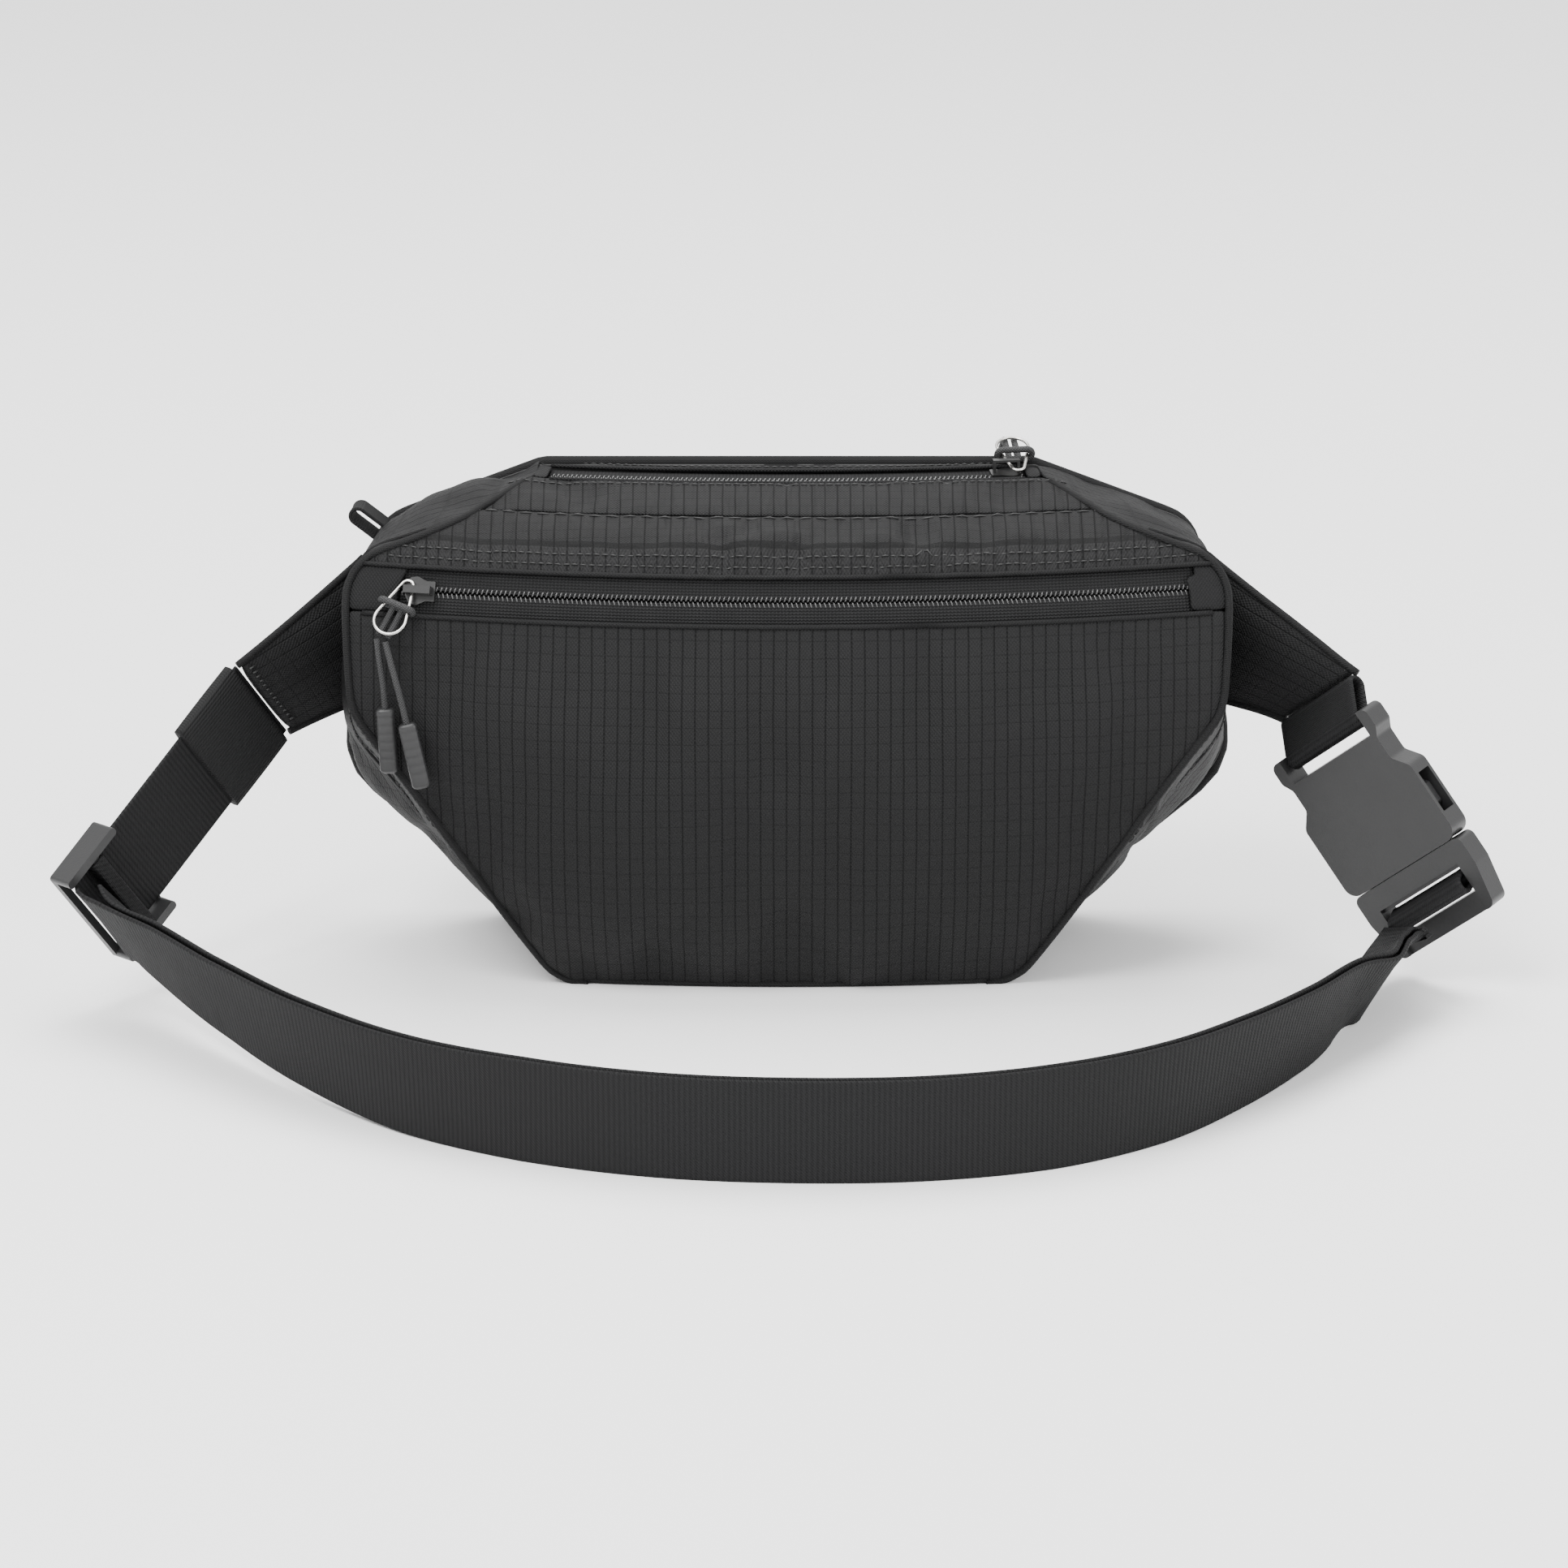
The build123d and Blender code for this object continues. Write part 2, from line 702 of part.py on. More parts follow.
def belt_layer(stations, side):
    """Webbing lofted through flat sections; side shifts it out of the belt's middle."""
    points = [Vector(p) for p, _ in stations]
    with BuildPart() as body:
        for i, (_, across) in enumerate(stations):
            way = points[min(i + 1, len(points) - 1)] - points[max(i - 1, 0)]
            with BuildSketch(strip_plane(points[i], across, way)):
                with Locations((0, side)):
                    Rectangle(webbing, webbing_thick)
        loft(ruled=True)
    return body


layer_side = (webbing_thick + layer_gap) / 2
return_start = (tri + strap_way * 6.5 - outward * 9, (-0.42, -0.43, 0.80))
keep(belt_layer(strap_route + belt_route, layer_side), "belt_webbing")
keep(belt_layer([return_start] + belt_route, -layer_side), "belt_return")

# ---- fittings on the left webbing: x along it, z out of the face that shows -----------------------
glide_plane = Plane(origin=tri + outward * layer_side, x_dir=strap_way, z_dir=-outward)
face_gap = webbing_thick / 2 + face_room
bar_height = face_gap + sleeve_wall + slip + end_bar / 2      # the centre bar's middle
glide_low = -face_gap - end_bar
glide_high = bar_height + end_bar / 2 + 0.7
rail_y = webbing / 2 + edge_room + rail / 2
with BuildPart() as tri_glide:
    with BuildSketch(glide_plane.offset(glide_low)):
        with Locations(((glide_from + glide_to) / 2, -rail_y), ((glide_from + glide_to) / 2, rail_y)):
            RectangleRounded(glide_to - glide_from, rail, 1.4)
    extrude(amount=glide_high - glide_low)
    with BuildSketch(glide_plane.offset(glide_low)):
        with Locations((glide_from + end_bar / 2, 0), (glide_to - end_bar / 2, 0)):
            Rectangle(end_bar, 2 * rail_y)
    extrude(amount=end_bar)
    with BuildSketch(glide_plane.offset(bar_height - end_bar / 2)):
        Rectangle(end_bar, 2 * rail_y)
    extrude(amount=end_bar)
keep(tri_glide, "tri_glide")

sleeve_inner = end_bar + 2 * slip
with BuildPart() as belt_return_end:
    with BuildSketch(Plane(
        origin=point_on(glide_plane, (0, -webbing / 2, bar_height)),
        x_dir=glide_plane.x_dir,
        z_dir=glide_plane.y_dir,
    )):
        RectangleRounded(sleeve_inner + 2 * sleeve_wall, sleeve_inner + 2 * sleeve_wall, sleeve_wall)
        Rectangle(sleeve_inner, sleeve_inner, mode=Mode.SUBTRACT)
    extrude(amount=webbing)
keep(belt_return_end, "belt_return_end")

keeper_middle = Vector(left_wing_end) + strap_way * keeper_drop + outward * layer_side
keeper_width = webbing + 2 * edge_room
keeper_depth = webbing_thick + edge_room
with BuildPart() as keeper:
    with BuildSketch(strip_plane(keeper_middle, left_up, strap_way).offset(-keeper_length / 2)):
        RectangleRounded(keeper_width + 2 * keeper_wall, keeper_depth + 2 * keeper_wall, keeper_wall)
        Rectangle(keeper_width, keeper_depth, mode=Mode.SUBTRACT)
    extrude(amount=keeper_length)
keep(keeper, "keeper")

# ---- side release buckle: x across, y from the mouth to the ears, z out of the face that shows ----
slot_half_x = webbing / 2 + edge_room + slot_ease


def turned_bar(bar_y):
    """A round bar across the buckle, between the sides of its slot."""
    with BuildPart() as bar:
        with BuildSketch(Plane(
            origin=point_on(buckle_plane, (-slot_half_x - 1, bar_y, 0)),
            x_dir=buckle_plane.y_dir,
            z_dir=buckle_plane.x_dir,
        )):
            Circle(bar_half)
        extrude(amount=2 * slot_half_x + 2)
    return bar.part


ear_bar_body = turned_bar(ear_bar_y)
ladder_bar_body = turned_bar(ladder_bar_y)
with BuildPart() as buckle_female:
    with BuildSketch(buckle_plane.offset(-buckle_thick / 2)):
        with BuildLine():
            FilletPolyline(
                (0, 0),
                (buckle_half, 0),
                (buckle_half, cavity_depth),
                (waist_half, neck_from),
                (waist_half, neck_to),
                (ear_half, ear_from),
                (ear_half, female_length),
                (0, female_length),
                radius=[5, 4, 3, 3, 3, 3],
            )
            mirror(about=Plane.YZ)
        make_face()
        with Locations((0, ear_from - 2 + ear_slot / 2)):
            Rectangle(2 * slot_half_x, ear_slot, mode=Mode.SUBTRACT)
    extrude(amount=buckle_thick)
    with BuildSketch(buckle_plane.offset(-cavity_half_thick)):
        with Locations((0, cavity_depth / 2 - 1)):
            Rectangle(2 * cavity_half, cavity_depth + 2)
        with Locations((-side_window_x, side_window_y), (side_window_x, side_window_y)):
            Rectangle(*side_window)
    extrude(amount=2 * cavity_half_thick, mode=Mode.SUBTRACT)
    add(ear_bar_body)
keep(buckle_female, "buckle_female")

with BuildPart() as buckle_male:
    with BuildSketch(buckle_plane.offset(-male_thick / 2)):
        with BuildLine():
            FilletPolyline(
                (0, -slip),
                (buckle_half - male_inset, -slip),
                (buckle_half - male_inset, male_taper_y),
                (male_end_half, -male_length),
                (0, -male_length),
                radius=[3, 6, 3],
            )
            mirror(about=Plane.YZ)
        make_face()
        with Locations((0, ladder_slot_y)):
            Rectangle(2 * slot_half_x, ladder_slot, mode=Mode.SUBTRACT)
    extrude(amount=male_thick)
    for start in (-male_thick / 2, web_half):
        with BuildSketch(buckle_plane.offset(start)):
            with Locations((0, web_y)):
                Rectangle(2 * slot_half_x, web_length)
        extrude(amount=male_thick / 2 - web_half, mode=Mode.SUBTRACT)
    with BuildSketch(buckle_plane.offset(-tongue[2] / 2)):
        with Locations((0, tongue_y)):
            Rectangle(tongue[0], tongue[1])
    extrude(amount=tongue[2])
    add(ladder_bar_body)
keep(buckle_male, "buckle_male")

for side, label in ((-1, "prong_left"), (1, "prong_right")):
    with BuildPart() as prong:
        with BuildSketch(buckle_plane.offset(-prong_half_thick)):
            with BuildLine():
                FilletPolyline(
                    (side * (prong_root_x - 2), prong_root_y),
                    (side * (prong_root_x + 2), prong_root_y),
                    (side * 19.5, 9),
                    (side * 25.2, 14),
                    (side * 25.2, 22),
                    (side * 20.5, 27),
                    (side * 18, 27),
                    (side * 17, 20),
                    (side * 15, 9),
                    radius=0.6,
                    close=True,
                )
            make_face()
        extrude(amount=2 * prong_half_thick)
    keep(prong, label)

belt_end = Vector(belt_route[-1][0])
bar_place = point_on(buckle_plane, (0, ladder_bar_y, 0))
fold_way = belt_end - bar_place
fold_way = along(fold_way - buckle_plane.x_dir * fold_way.dot(buckle_plane.x_dir))
fold_reach = 5.0
with BuildPart() as belt_fold:
    with BuildSketch(Plane(origin=bar_place, x_dir=fold_way, z_dir=buckle_plane.x_dir).offset(-webbing / 2)):
        with Locations((fold_reach / 2, 0)):
            SlotCenterToCenter(fold_reach, 2 * loop_half + webbing_thick)
            SlotCenterToCenter(fold_reach, 2 * loop_half - webbing_thick, mode=Mode.SUBTRACT)
    extrude(amount=webbing)
keep(belt_fold, "belt_fold")

for name, value in (("strap way", strap_way), ("outward", outward), ("buckle x", buckle_plane.x_dir),
                    ("buckle y", buckle_plane.y_dir), ("buckle z", buckle_plane.z_dir),
                    ("left prong", point_on(buckle_plane, (-prong_root_x, prong_root_y, 0))),
                    ("right prong", point_on(buckle_plane, (prong_root_x, prong_root_y, 0)))):
    print(name, [round(v, 5) for v in value])

for piece in pieces:
    export_step(piece.part, f"parts/{piece.part.label}.step")
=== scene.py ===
import bpy
import bmesh
import math
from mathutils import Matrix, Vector, noise
from mathutils.bvhtree import BVHTree


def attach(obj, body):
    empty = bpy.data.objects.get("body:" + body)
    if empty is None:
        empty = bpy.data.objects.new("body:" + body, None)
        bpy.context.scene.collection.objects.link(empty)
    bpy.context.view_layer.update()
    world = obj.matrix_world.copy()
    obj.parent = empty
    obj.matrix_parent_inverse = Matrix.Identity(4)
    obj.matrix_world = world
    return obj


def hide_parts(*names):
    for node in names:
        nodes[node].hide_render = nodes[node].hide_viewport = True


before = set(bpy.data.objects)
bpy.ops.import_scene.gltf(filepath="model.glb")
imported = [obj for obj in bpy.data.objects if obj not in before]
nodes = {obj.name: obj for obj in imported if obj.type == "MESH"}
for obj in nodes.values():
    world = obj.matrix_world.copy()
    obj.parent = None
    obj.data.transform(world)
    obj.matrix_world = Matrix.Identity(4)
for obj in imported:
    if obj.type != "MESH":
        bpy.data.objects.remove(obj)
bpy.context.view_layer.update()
mm = 0.001


# materials: a thin wrapper round shader sockets
class Sock:
    def __init__(self, tree, out):
        self.tree = tree
        self.out = out

    def math(self, kind, other=None, third=None, swap=False):
        node = self.tree.nodes.new("ShaderNodeMath")
        node.operation = kind
        values = [self, other, third]
        if swap:
            values = [other, self, third]
        for slot, value in zip(node.inputs, values):
            if isinstance(value, Sock):
                self.tree.links.new(value.out, slot)
            elif value is not None:
                slot.default_value = value
        return Sock(self.tree, node.outputs[0])

    def __add__(self, other):
        return self.math("ADD", other)

    def __radd__(self, other):
        return self.math("ADD", other)

    def __sub__(self, other):
        return self.math("SUBTRACT", other)

    def __rsub__(self, other):
        return self.math("SUBTRACT", other, swap=True)

    def __mul__(self, other):
        return self.math("MULTIPLY", other)

    def __rmul__(self, other):
        return self.math("MULTIPLY", other)

    def __truediv__(self, other):
        return self.math("DIVIDE", other)

    def __pow__(self, other):
        return self.math("POWER", other)


class Material:
    def __init__(self, name):
        self.data = bpy.data.materials.new(name)
        self.data.use_nodes = True
        self.tree = self.data.node_tree
        self.shader = self.tree.nodes["Principled BSDF"]

    def node(self, kind, out, inputs=None, **settings):
        node = self.tree.nodes.new(kind)
        for key, value in settings.items():
            setattr(node, key, value)
        for key, value in (inputs or {}).items():
            if isinstance(value, Sock):
                self.tree.links.new(value.out, node.inputs[key])
            else:
                node.inputs[key].default_value = value
        return Sock(self.tree, node.outputs[out])

    def axes(self, source):
        split = self.tree.nodes.new("ShaderNodeSeparateXYZ")
        self.tree.links.new(source.out, split.inputs[0])
        return [Sock(self.tree, o) for o in split.outputs]

    def uv(self):
        return self.node("ShaderNodeUVMap", "UV", uv_map="cloth")

    def place(self):
        return self.node("ShaderNodeTexCoord", "Object")

    def noise(self, source, scale, detail=2.0):
        return self.node("ShaderNodeTexNoise", 0, {"Vector": source, "Scale": scale, "Detail": detail})

    def blend(self, factor, low, high):
        mix = self.tree.nodes.new("ShaderNodeMix")
        mix.data_type = "RGBA"
        self.tree.links.new(factor.out, mix.inputs["Factor"])
        mix.inputs["A"].default_value = (*low, 1)
        mix.inputs["B"].default_value = (*high, 1)
        return Sock(self.tree, mix.outputs["Result"])

    def finish(self, colour, rough, height, depth, metallic=0.0, coat=0.0, strength=1.0):
        inputs = self.shader.inputs
        self.tree.links.new(colour.out, inputs["Base Color"])
        self.tree.links.new(rough.out, inputs["Roughness"])
        inputs["Metallic"].default_value = metallic
        inputs["Coat Weight"].default_value = coat
        normal = self.node("ShaderNodeBump", 0, {"Height": height, "Distance": depth, "Strength": strength})
        self.tree.links.new(normal.out, inputs["Normal"])
        return self.data


def ridge(value, pitch, power):
    return (value * (math.pi / pitch)).math("COSINE").math("ABSOLUTE") ** power


def ripstopMaterial(name, low, high, pitch=4.7, pleats=0.0):
    m = Material(name)
    uv = m.uv()
    u, v, _ = m.axes(uv)
    drift = m.noise(uv, 60.0) * (0.5 * mm)
    upright = ridge(u + drift, pitch * mm, 70.0)
    level = ridge(v + drift, pitch * 1.3 * mm, 90.0) * 0.35
    cells = upright.math("MAXIMUM", level)
    weave = (u * (math.pi / (0.62 * mm))).math("SINE") * (v * (math.pi / (0.75 * mm))).math("SINE")
    thread = m.noise(uv, 1100.0)
    soft = m.noise(m.place(), 16.0, 3.0)
    crease = m.noise(m.node("ShaderNodeMapping", 0, {"Vector": uv, "Scale": (1.0, 0.45, 1.0)}), 34.0, 3.0)
    shade = (0.20 + thread * 0.55 + weave * 0.16 + soft * 0.25 - cells * 0.55).math("MINIMUM", 1.0)
    height = weave * 0.32 - cells * 0.9 + thread * 0.25 + soft * 5.0 + crease * 6.0
    if pleats:
        fold = m.noise(m.node("ShaderNodeMapping", 0, {"Vector": uv, "Scale": (1.0, 0.10, 1.0)}), 210.0, 2.0)
        height = height + fold * pleats
    rough = 0.58 + soft * 0.16 + cells * 0.12
    m.shader.inputs["Specular IOR Level"].default_value = 0.16
    return m.finish(m.blend(shade.math("MAXIMUM", 0.0), low, high), rough, height, 0.32 * mm)


def webbingMaterial(name, low, high, rib=1.9, ribDepth=1.0):
    m = Material(name)
    uv = m.uv()
    u, v, _ = m.axes(uv)
    ribs = ridge(v, rib * mm, 1.2)
    twill = ridge(u + v, 1.1 * mm, 1.4)
    thread = m.noise(uv, 1100.0)
    soft = m.noise(m.place(), 30.0)
    shade = (ribs * 0.35 * ribDepth + twill * 0.25 + thread * 0.3 + soft * 0.2).math("MINIMUM", 1.0)
    height = ribs * ribDepth + twill * 0.45 + thread * 0.25
    m.shader.inputs["Specular IOR Level"].default_value = 0.16
    return m.finish(m.blend(shade, low, high), 0.66 + soft * 0.14, height, 0.32 * mm)


def knitMaterial(name, low, high):
    m = Material(name)
    uv = m.uv()
    u, v, _ = m.axes(uv)
    wales = ridge(u + (v * (math.pi / (0.7 * mm))).math("SINE") * (0.12 * mm), 1.15 * mm, 1.0)
    loops = ridge(v, 1.3 * mm, 1.2)
    thread = m.noise(uv, 1200.0)
    shade = (wales * 0.4 + loops * 0.25 + thread * 0.35).math("MINIMUM", 1.0)
    m.shader.inputs["Specular IOR Level"].default_value = 0.16
    return m.finish(m.blend(shade, low, high), 0.7 + thread * 0.1, wales * 0.8 + loops * 0.6, 0.45 * mm)


def plainMaterial(name, low, high, rough, grain=900.0, depth=0.05, metallic=0.0, coat=0.0, stretch=(1, 1, 1)):
    m = Material(name)
    where = m.node("ShaderNodeMapping", 0, {"Vector": m.place(), "Scale": stretch})
    fine = m.noise(where, grain, 3.0)
    soft = m.noise(m.place(), 45.0, 3.0)
    shade = (fine * 0.5 + soft * 0.5).math("MINIMUM", 1.0)
    sheen = rough + fine * 0.10 - soft * 0.06
    return m.finish(m.blend(shade, low, high), sheen, fine, depth * mm, metallic, coat)


def braidMaterial(name, low, high):
    m = Material(name)
    x, y, z = m.axes(m.place())
    one = ridge(z + x * 0.9 + y * 0.4, 1.0 * mm, 1.4)
    two = ridge(z - x * 0.9 - y * 0.4, 1.0 * mm, 1.4)
    thread = m.noise(m.place(), 1500.0)
    braid = one * 0.5 + two * 0.5
    return m.finish(m.blend((braid * 0.7 + thread * 0.3), low, high), 0.6 + thread * 0.1, braid, 0.3 * mm)


black = {
    "fabric": ((0.0028, 0.0028, 0.003), (0.0125, 0.0125, 0.0128)),
    "plain": ((0.0024, 0.0024, 0.0026), (0.009, 0.009, 0.0093)),
    "webbing": ((0.0024, 0.0024, 0.0026), (0.0125, 0.0125, 0.013)),
    "binding": ((0.003, 0.003, 0.0032), (0.014, 0.014, 0.0143)),
    "plastic": ((0.008, 0.008, 0.0083), (0.017, 0.017, 0.0175)),
    "paint": ((0.006, 0.006, 0.006), (0.014, 0.014, 0.014)),
}
steel = ((0.40, 0.39, 0.37), (0.66, 0.65, 0.63))
looks = {
    "bag": ripstopMaterial("bag fabric", *black["fabric"]),
    "bagPleated": ripstopMaterial("gathered bag fabric", *black["fabric"], 4.7, 9.0),
    "plainCloth": ripstopMaterial("plain bag fabric", *black["plain"], 200.0),
    "lining": plainMaterial("lining", (0.01, 0.01, 0.01), (0.02, 0.02, 0.02), 0.7),
    "webbing": webbingMaterial("webbing", *black["webbing"]),
    "binding": webbingMaterial("binding tape", *black["binding"], 1.0, 0.4),
    "elastic": webbingMaterial("elastic", *black["binding"], 1.3, 0.9),
    "tape": knitMaterial("zip tape", (0.0022, 0.0022, 0.0024), (0.017, 0.017, 0.0175)),
    "coil": plainMaterial("zip coil", (0.008, 0.008, 0.008), (0.05, 0.05, 0.05), 0.2, 600.0, 0.02, 0.0, 0.6),
    "slider": plainMaterial("slider paint", *black["paint"], 0.34, 700.0, 0.02, 0.2, 0.3),
    "ring": plainMaterial("ring metal", *steel, 0.24, 500.0, 0.02, 1.0, 0.0, (1, 1, 6)),
    "cord": braidMaterial("cord braid", (0.003, 0.003, 0.0032), (0.022, 0.022, 0.023)),
    "rubber": plainMaterial("rubber", (0.008, 0.008, 0.0085), (0.018, 0.018, 0.0185), 0.45, 1100.0, 0.04),
    "plastic": plainMaterial("buckle plastic", *black["plastic"], 0.40, 1300.0, 0.05),
    "stitch": plainMaterial("thread", (0.006, 0.006, 0.006), (0.02, 0.02, 0.02), 0.55, 2500.0, 0.05),
}
print("stage materials", len(looks))


# mesh helpers
def makeMesh(name, verts, faces, look, uvs=None):
    mesh = bpy.data.meshes.new(name)
    mesh.from_pydata([tuple(v) for v in verts], [], faces)
    layer = mesh.uv_layers.new(name="cloth")
    if uvs:
        for loop in mesh.loops:
            layer.data[loop.index].uv = uvs[loop.vertex_index]
    obj = bpy.data.objects.new(name, mesh)
    bpy.context.scene.collection.objects.link(obj)
    mesh.materials.append(looks[look])
    for polygon in mesh.polygons:
        polygon.use_smooth = True
    return obj


def tidyNormals(obj):
    bm = bmesh.new()
    bm.from_mesh(obj.data)
    bmesh.ops.recalc_face_normals(bm, faces=bm.faces)
    bm.to_mesh(obj.data)
    bm.free()
    return obj


def sweepLoops(name, loops, look, uvRows, closed=False):
    count = len(loops[0])
    verts = [p for loop in loops for p in loop]
    faces = []
    last = len(loops) if closed else len(loops) - 1
    for i in range(last):
        for k in range(count):
            a = i * count + k
            b = i * count + (k + 1) % count
            c = ((i + 1) % len(loops)) * count + (k + 1) % count
            d = ((i + 1) % len(loops)) * count + k
            faces.append((a, b, c, d))
    if not closed:
        faces.append(tuple(range(count))[::-1])
        faces.append(tuple((len(loops) - 1) * count + k for k in range(count)))
    return tidyNormals(makeMesh(name, verts, faces, look, [uv for row in uvRows for uv in row]))


def spline(points, step):
    padded = [points[0] * 2 - points[1]] + list(points) + [points[-1] * 2 - points[-2]]
    out = []
    for p0, p1, p2, p3 in zip(padded, padded[1:], padded[2:], padded[3:]):
        count = max(1, round((p2 - p1).length / step))
        for i in range(count):
            t = i / count
            out.append(0.5 * (2 * p1 + (p2 - p0) * t + (2 * p0 - 5 * p1 + 4 * p2 - p3) * t * t
                              + (3 * p1 - p0 - 3 * p2 + p3) * t ** 3))
    out.append(padded[-2].copy())
    return out


def frames(points, acrosses):
    rows = []
    for i, p in enumerate(points):
        way = (points[min(i + 1, len(points) - 1)] - points[max(i - 1, 0)]).normalized()
        across = acrosses[i]
        across = (across - way * across.dot(way)).normalized()
        rows.append((p, across, way.cross(across), way))
    return rows


def ribbon(name, stations, side, width, thick, look, step=3 * mm, bead=0.25 * mm):
    points = spline([Vector(p) * mm for p, _ in stations], step)
    total = len(points)
    index = [0]
    for (p, _), (q, _) in zip(stations, stations[1:]):
        index.append(index[-1] + max(1, round((Vector(q) - Vector(p)).length * mm / step)))
    acrosses = []
    place = 0
    for i in range(total):
        while place < len(index) - 2 and i >= index[place + 1]:
            place += 1
        t = (i - index[place]) / max(1, index[place + 1] - index[place])
        acrosses.append(Vector(stations[place][1]).lerp(Vector(stations[place + 1][1]), min(1, t)))
    half = width / 2
    inner = thick / 2 - 0.12 * mm
    edge = thick / 2 + bead * 0.35
    across = [-1.0, -0.97, -0.90, -0.55, 0.0, 0.55, 0.90, 0.97, 1.0]
    out = [edge * 0.5, edge, edge * 0.9, inner, inner, inner, edge * 0.9, edge, edge * 0.5]
    section = list(zip(across, out)) + [(a, -o) for a, o in zip(across[::-1], out[::-1])]
    loops = []
    uvRows = []
    run = 0.0
    rows = frames(points, acrosses)
    for i, (p, a, n, _) in enumerate(rows):
        if i:
            run += (points[i] - points[i - 1]).length
        loops.append([p + a * (q * half) + n * (side + h) for q, h in section])
        uvRows.append([(q * half, run) for q, _ in section])
    return sweepLoops(name, loops, look, uvRows)


def tube(points, radius, sides, closed=False):
    verts = []
    faces = []
    up = Vector((0.13, 0.21, 0.97))
    count = len(points)
    for i, p in enumerate(points):
        if closed:
            way = points[(i + 1) % count] - points[i - 1]
        else:
            way = points[min(i + 1, count - 1)] - points[max(i - 1, 0)]
        way = way.normalized()
        side = (up - way * up.dot(way)).normalized()
        up = side
        other = way.cross(side)
        for k in range(sides):
            turn = 2 * math.pi * k / sides
            verts.append(p + (side * math.cos(turn) + other * math.sin(turn)) * radius)
    for i in range(count if closed else count - 1):
        a = i * sides
        b = (i + 1) % count * sides
        for k in range(sides):
            after = (k + 1) % sides
            faces.append((a + k, a + after, b + after, b + k))
    if not closed:
        faces.append(tuple(range(sides))[::-1])
        faces.append(tuple((count - 1) * sides + k for k in range(sides)))
    return verts, faces


def gather(name, parts, look):
    verts = []
    faces = []
    for partVerts, partFaces in parts:
        base = len(verts)
        verts += partVerts
        faces += [tuple(base + k for k in face) for face in partFaces]
    uvs = [(v[0] + v[1], v[2] + v[1]) for v in verts]
    return tidyNormals(makeMesh(name, verts, faces, look, uvs))


def place(obj, body, slot, *replaced):
    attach(obj, body)
    if replaced:
        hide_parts(*replaced)
    return obj


# the bag's skin: a walled outline that meets a profile turned about a far upright axis
bag = {
    "height": 181.0, "back": 42.0, "front": -60.0, "turnY": 673.0,
    "backCorners": [(96, 0), (168, 62), (152, 158), (60, 193)],
    "frontCorners": [(80, 0), (157, 122), (165.5, 164.3), (66, 193)],
    "radii": [20, 26, 17, 30],
    "divider": -10.0, "zipFrontY": 14.0, "zipRearY": 28.0,
    "baseFrontY": -36.0, "zipLowZ": 146.0, "zipHighZ": 161.5, "seamZ": 176.0,
}


def arcPoint(a, b, c, t):
    ax, ay = a
    bx, by = b
    cx, cy = c
    d = 2 * (ax * (by - cy) + bx * (cy - ay) + cx * (ay - by))
    aa = ax * ax + ay * ay
    bb = bx * bx + by * by
    cc = cx * cx + cy * cy
    ux = (aa * (by - cy) + bb * (cy - ay) + cc * (ay - by)) / d
    uy = (aa * (cx - bx) + bb * (ax - cx) + cc * (bx - ax)) / d
    start = math.atan2(ay - uy, ax - ux)
    end = math.atan2(cy - uy, cx - ux)
    while end > start + math.pi:
        end -= 2 * math.pi
    while end < start - math.pi:
        end += 2 * math.pi
    turn = start + (end - start) * t
    r = math.hypot(ax - ux, ay - uy)
    return ux + r * math.cos(turn), uy + r * math.sin(turn)


profile = [arcPoint((-36, 0), (-54, 68), (-48.5, 146), i / 40) for i in range(41)]
profile += [(-41, 161.5)]
profile += [arcPoint((-41, 161.5), (-29, 171), (-12, 176), i / 16) for i in range(1, 17)]
profile += [(14, 181)]


def frontY(z):
    for (y0, z0), (y1, z1) in zip(profile, profile[1:]):
        if z <= z1:
            return y0 + (y1 - y0) * max(0.0, (z - z0)) / max(1e-6, z1 - z0)
    return 14.0


def corner(p, q, r, radius, t):
    a = (Vector(p) - Vector(q)).normalized()
    b = (Vector(r) - Vector(q)).normalized()
    half = a.angle(b) / 2
    reach = radius / math.tan(half)
    start = Vector(q) + a * reach
    centre = Vector(q) + (a + b).normalized() * (radius / math.sin(half))
    end = Vector(q) + b * reach
    s = start - centre
    e = end - centre
    turn = s.angle(e)
    return centre + (s * math.sin(turn * (1 - t)) + e * math.sin(turn * t)) / math.sin(turn)


def outline(u, y):
    # u: 1..2 first corner, 2..3 side, and so on; 0..1 is the flat base
    t = (bag["back"] - y) / (bag["back"] - bag["front"])
    pts = [(0.0, 0.0)]
    for p, q in zip(bag["backCorners"], bag["frontCorners"]):
        pts.append(tuple(b + (f - b) * t for b, f in zip(p, q)))
    pts += [(0.0, pts[-1][1])]
    part = min(int(u), 7)
    share = u - part
    k = part // 2
    if part % 2:
        point = corner(pts[k], pts[k + 1], pts[k + 2], bag["radii"][k], share)
        return point.x, point.y
    if k == 0:
        start = Vector((0.0, 0.0))
    else:
        start = corner(pts[k - 1], pts[k], pts[k + 1], bag["radii"][k - 1], 1.0)
    end = corner(pts[k], pts[k + 1], pts[k + 2], bag["radii"][k], 0.0)
    point = start.lerp(end, share)
    return point.x, point.y


def profileY(x, y):
    return bag["turnY"] - math.hypot(x, bag["turnY"] - y)


def outside(u, y):
    x, z = outline(u, y)
    if z > bag["height"]:
        return True
    return profileY(x, y) < frontY(z)


def rimY(u):
    low = bag["back"]
    step = 2.0
    while low - step > bag["front"] and not outside(u, low - step):
        low -= step
    high = low - step
    for _ in range(24):
        middle = (low + high) / 2
        if outside(u, middle):
            high = middle
        else:
            low = middle
    return low


def solveU(test, low, high):
    for _ in range(40):
        middle = (low + high) / 2
        if test(middle):
            low = middle
        else:
            high = middle
    return low


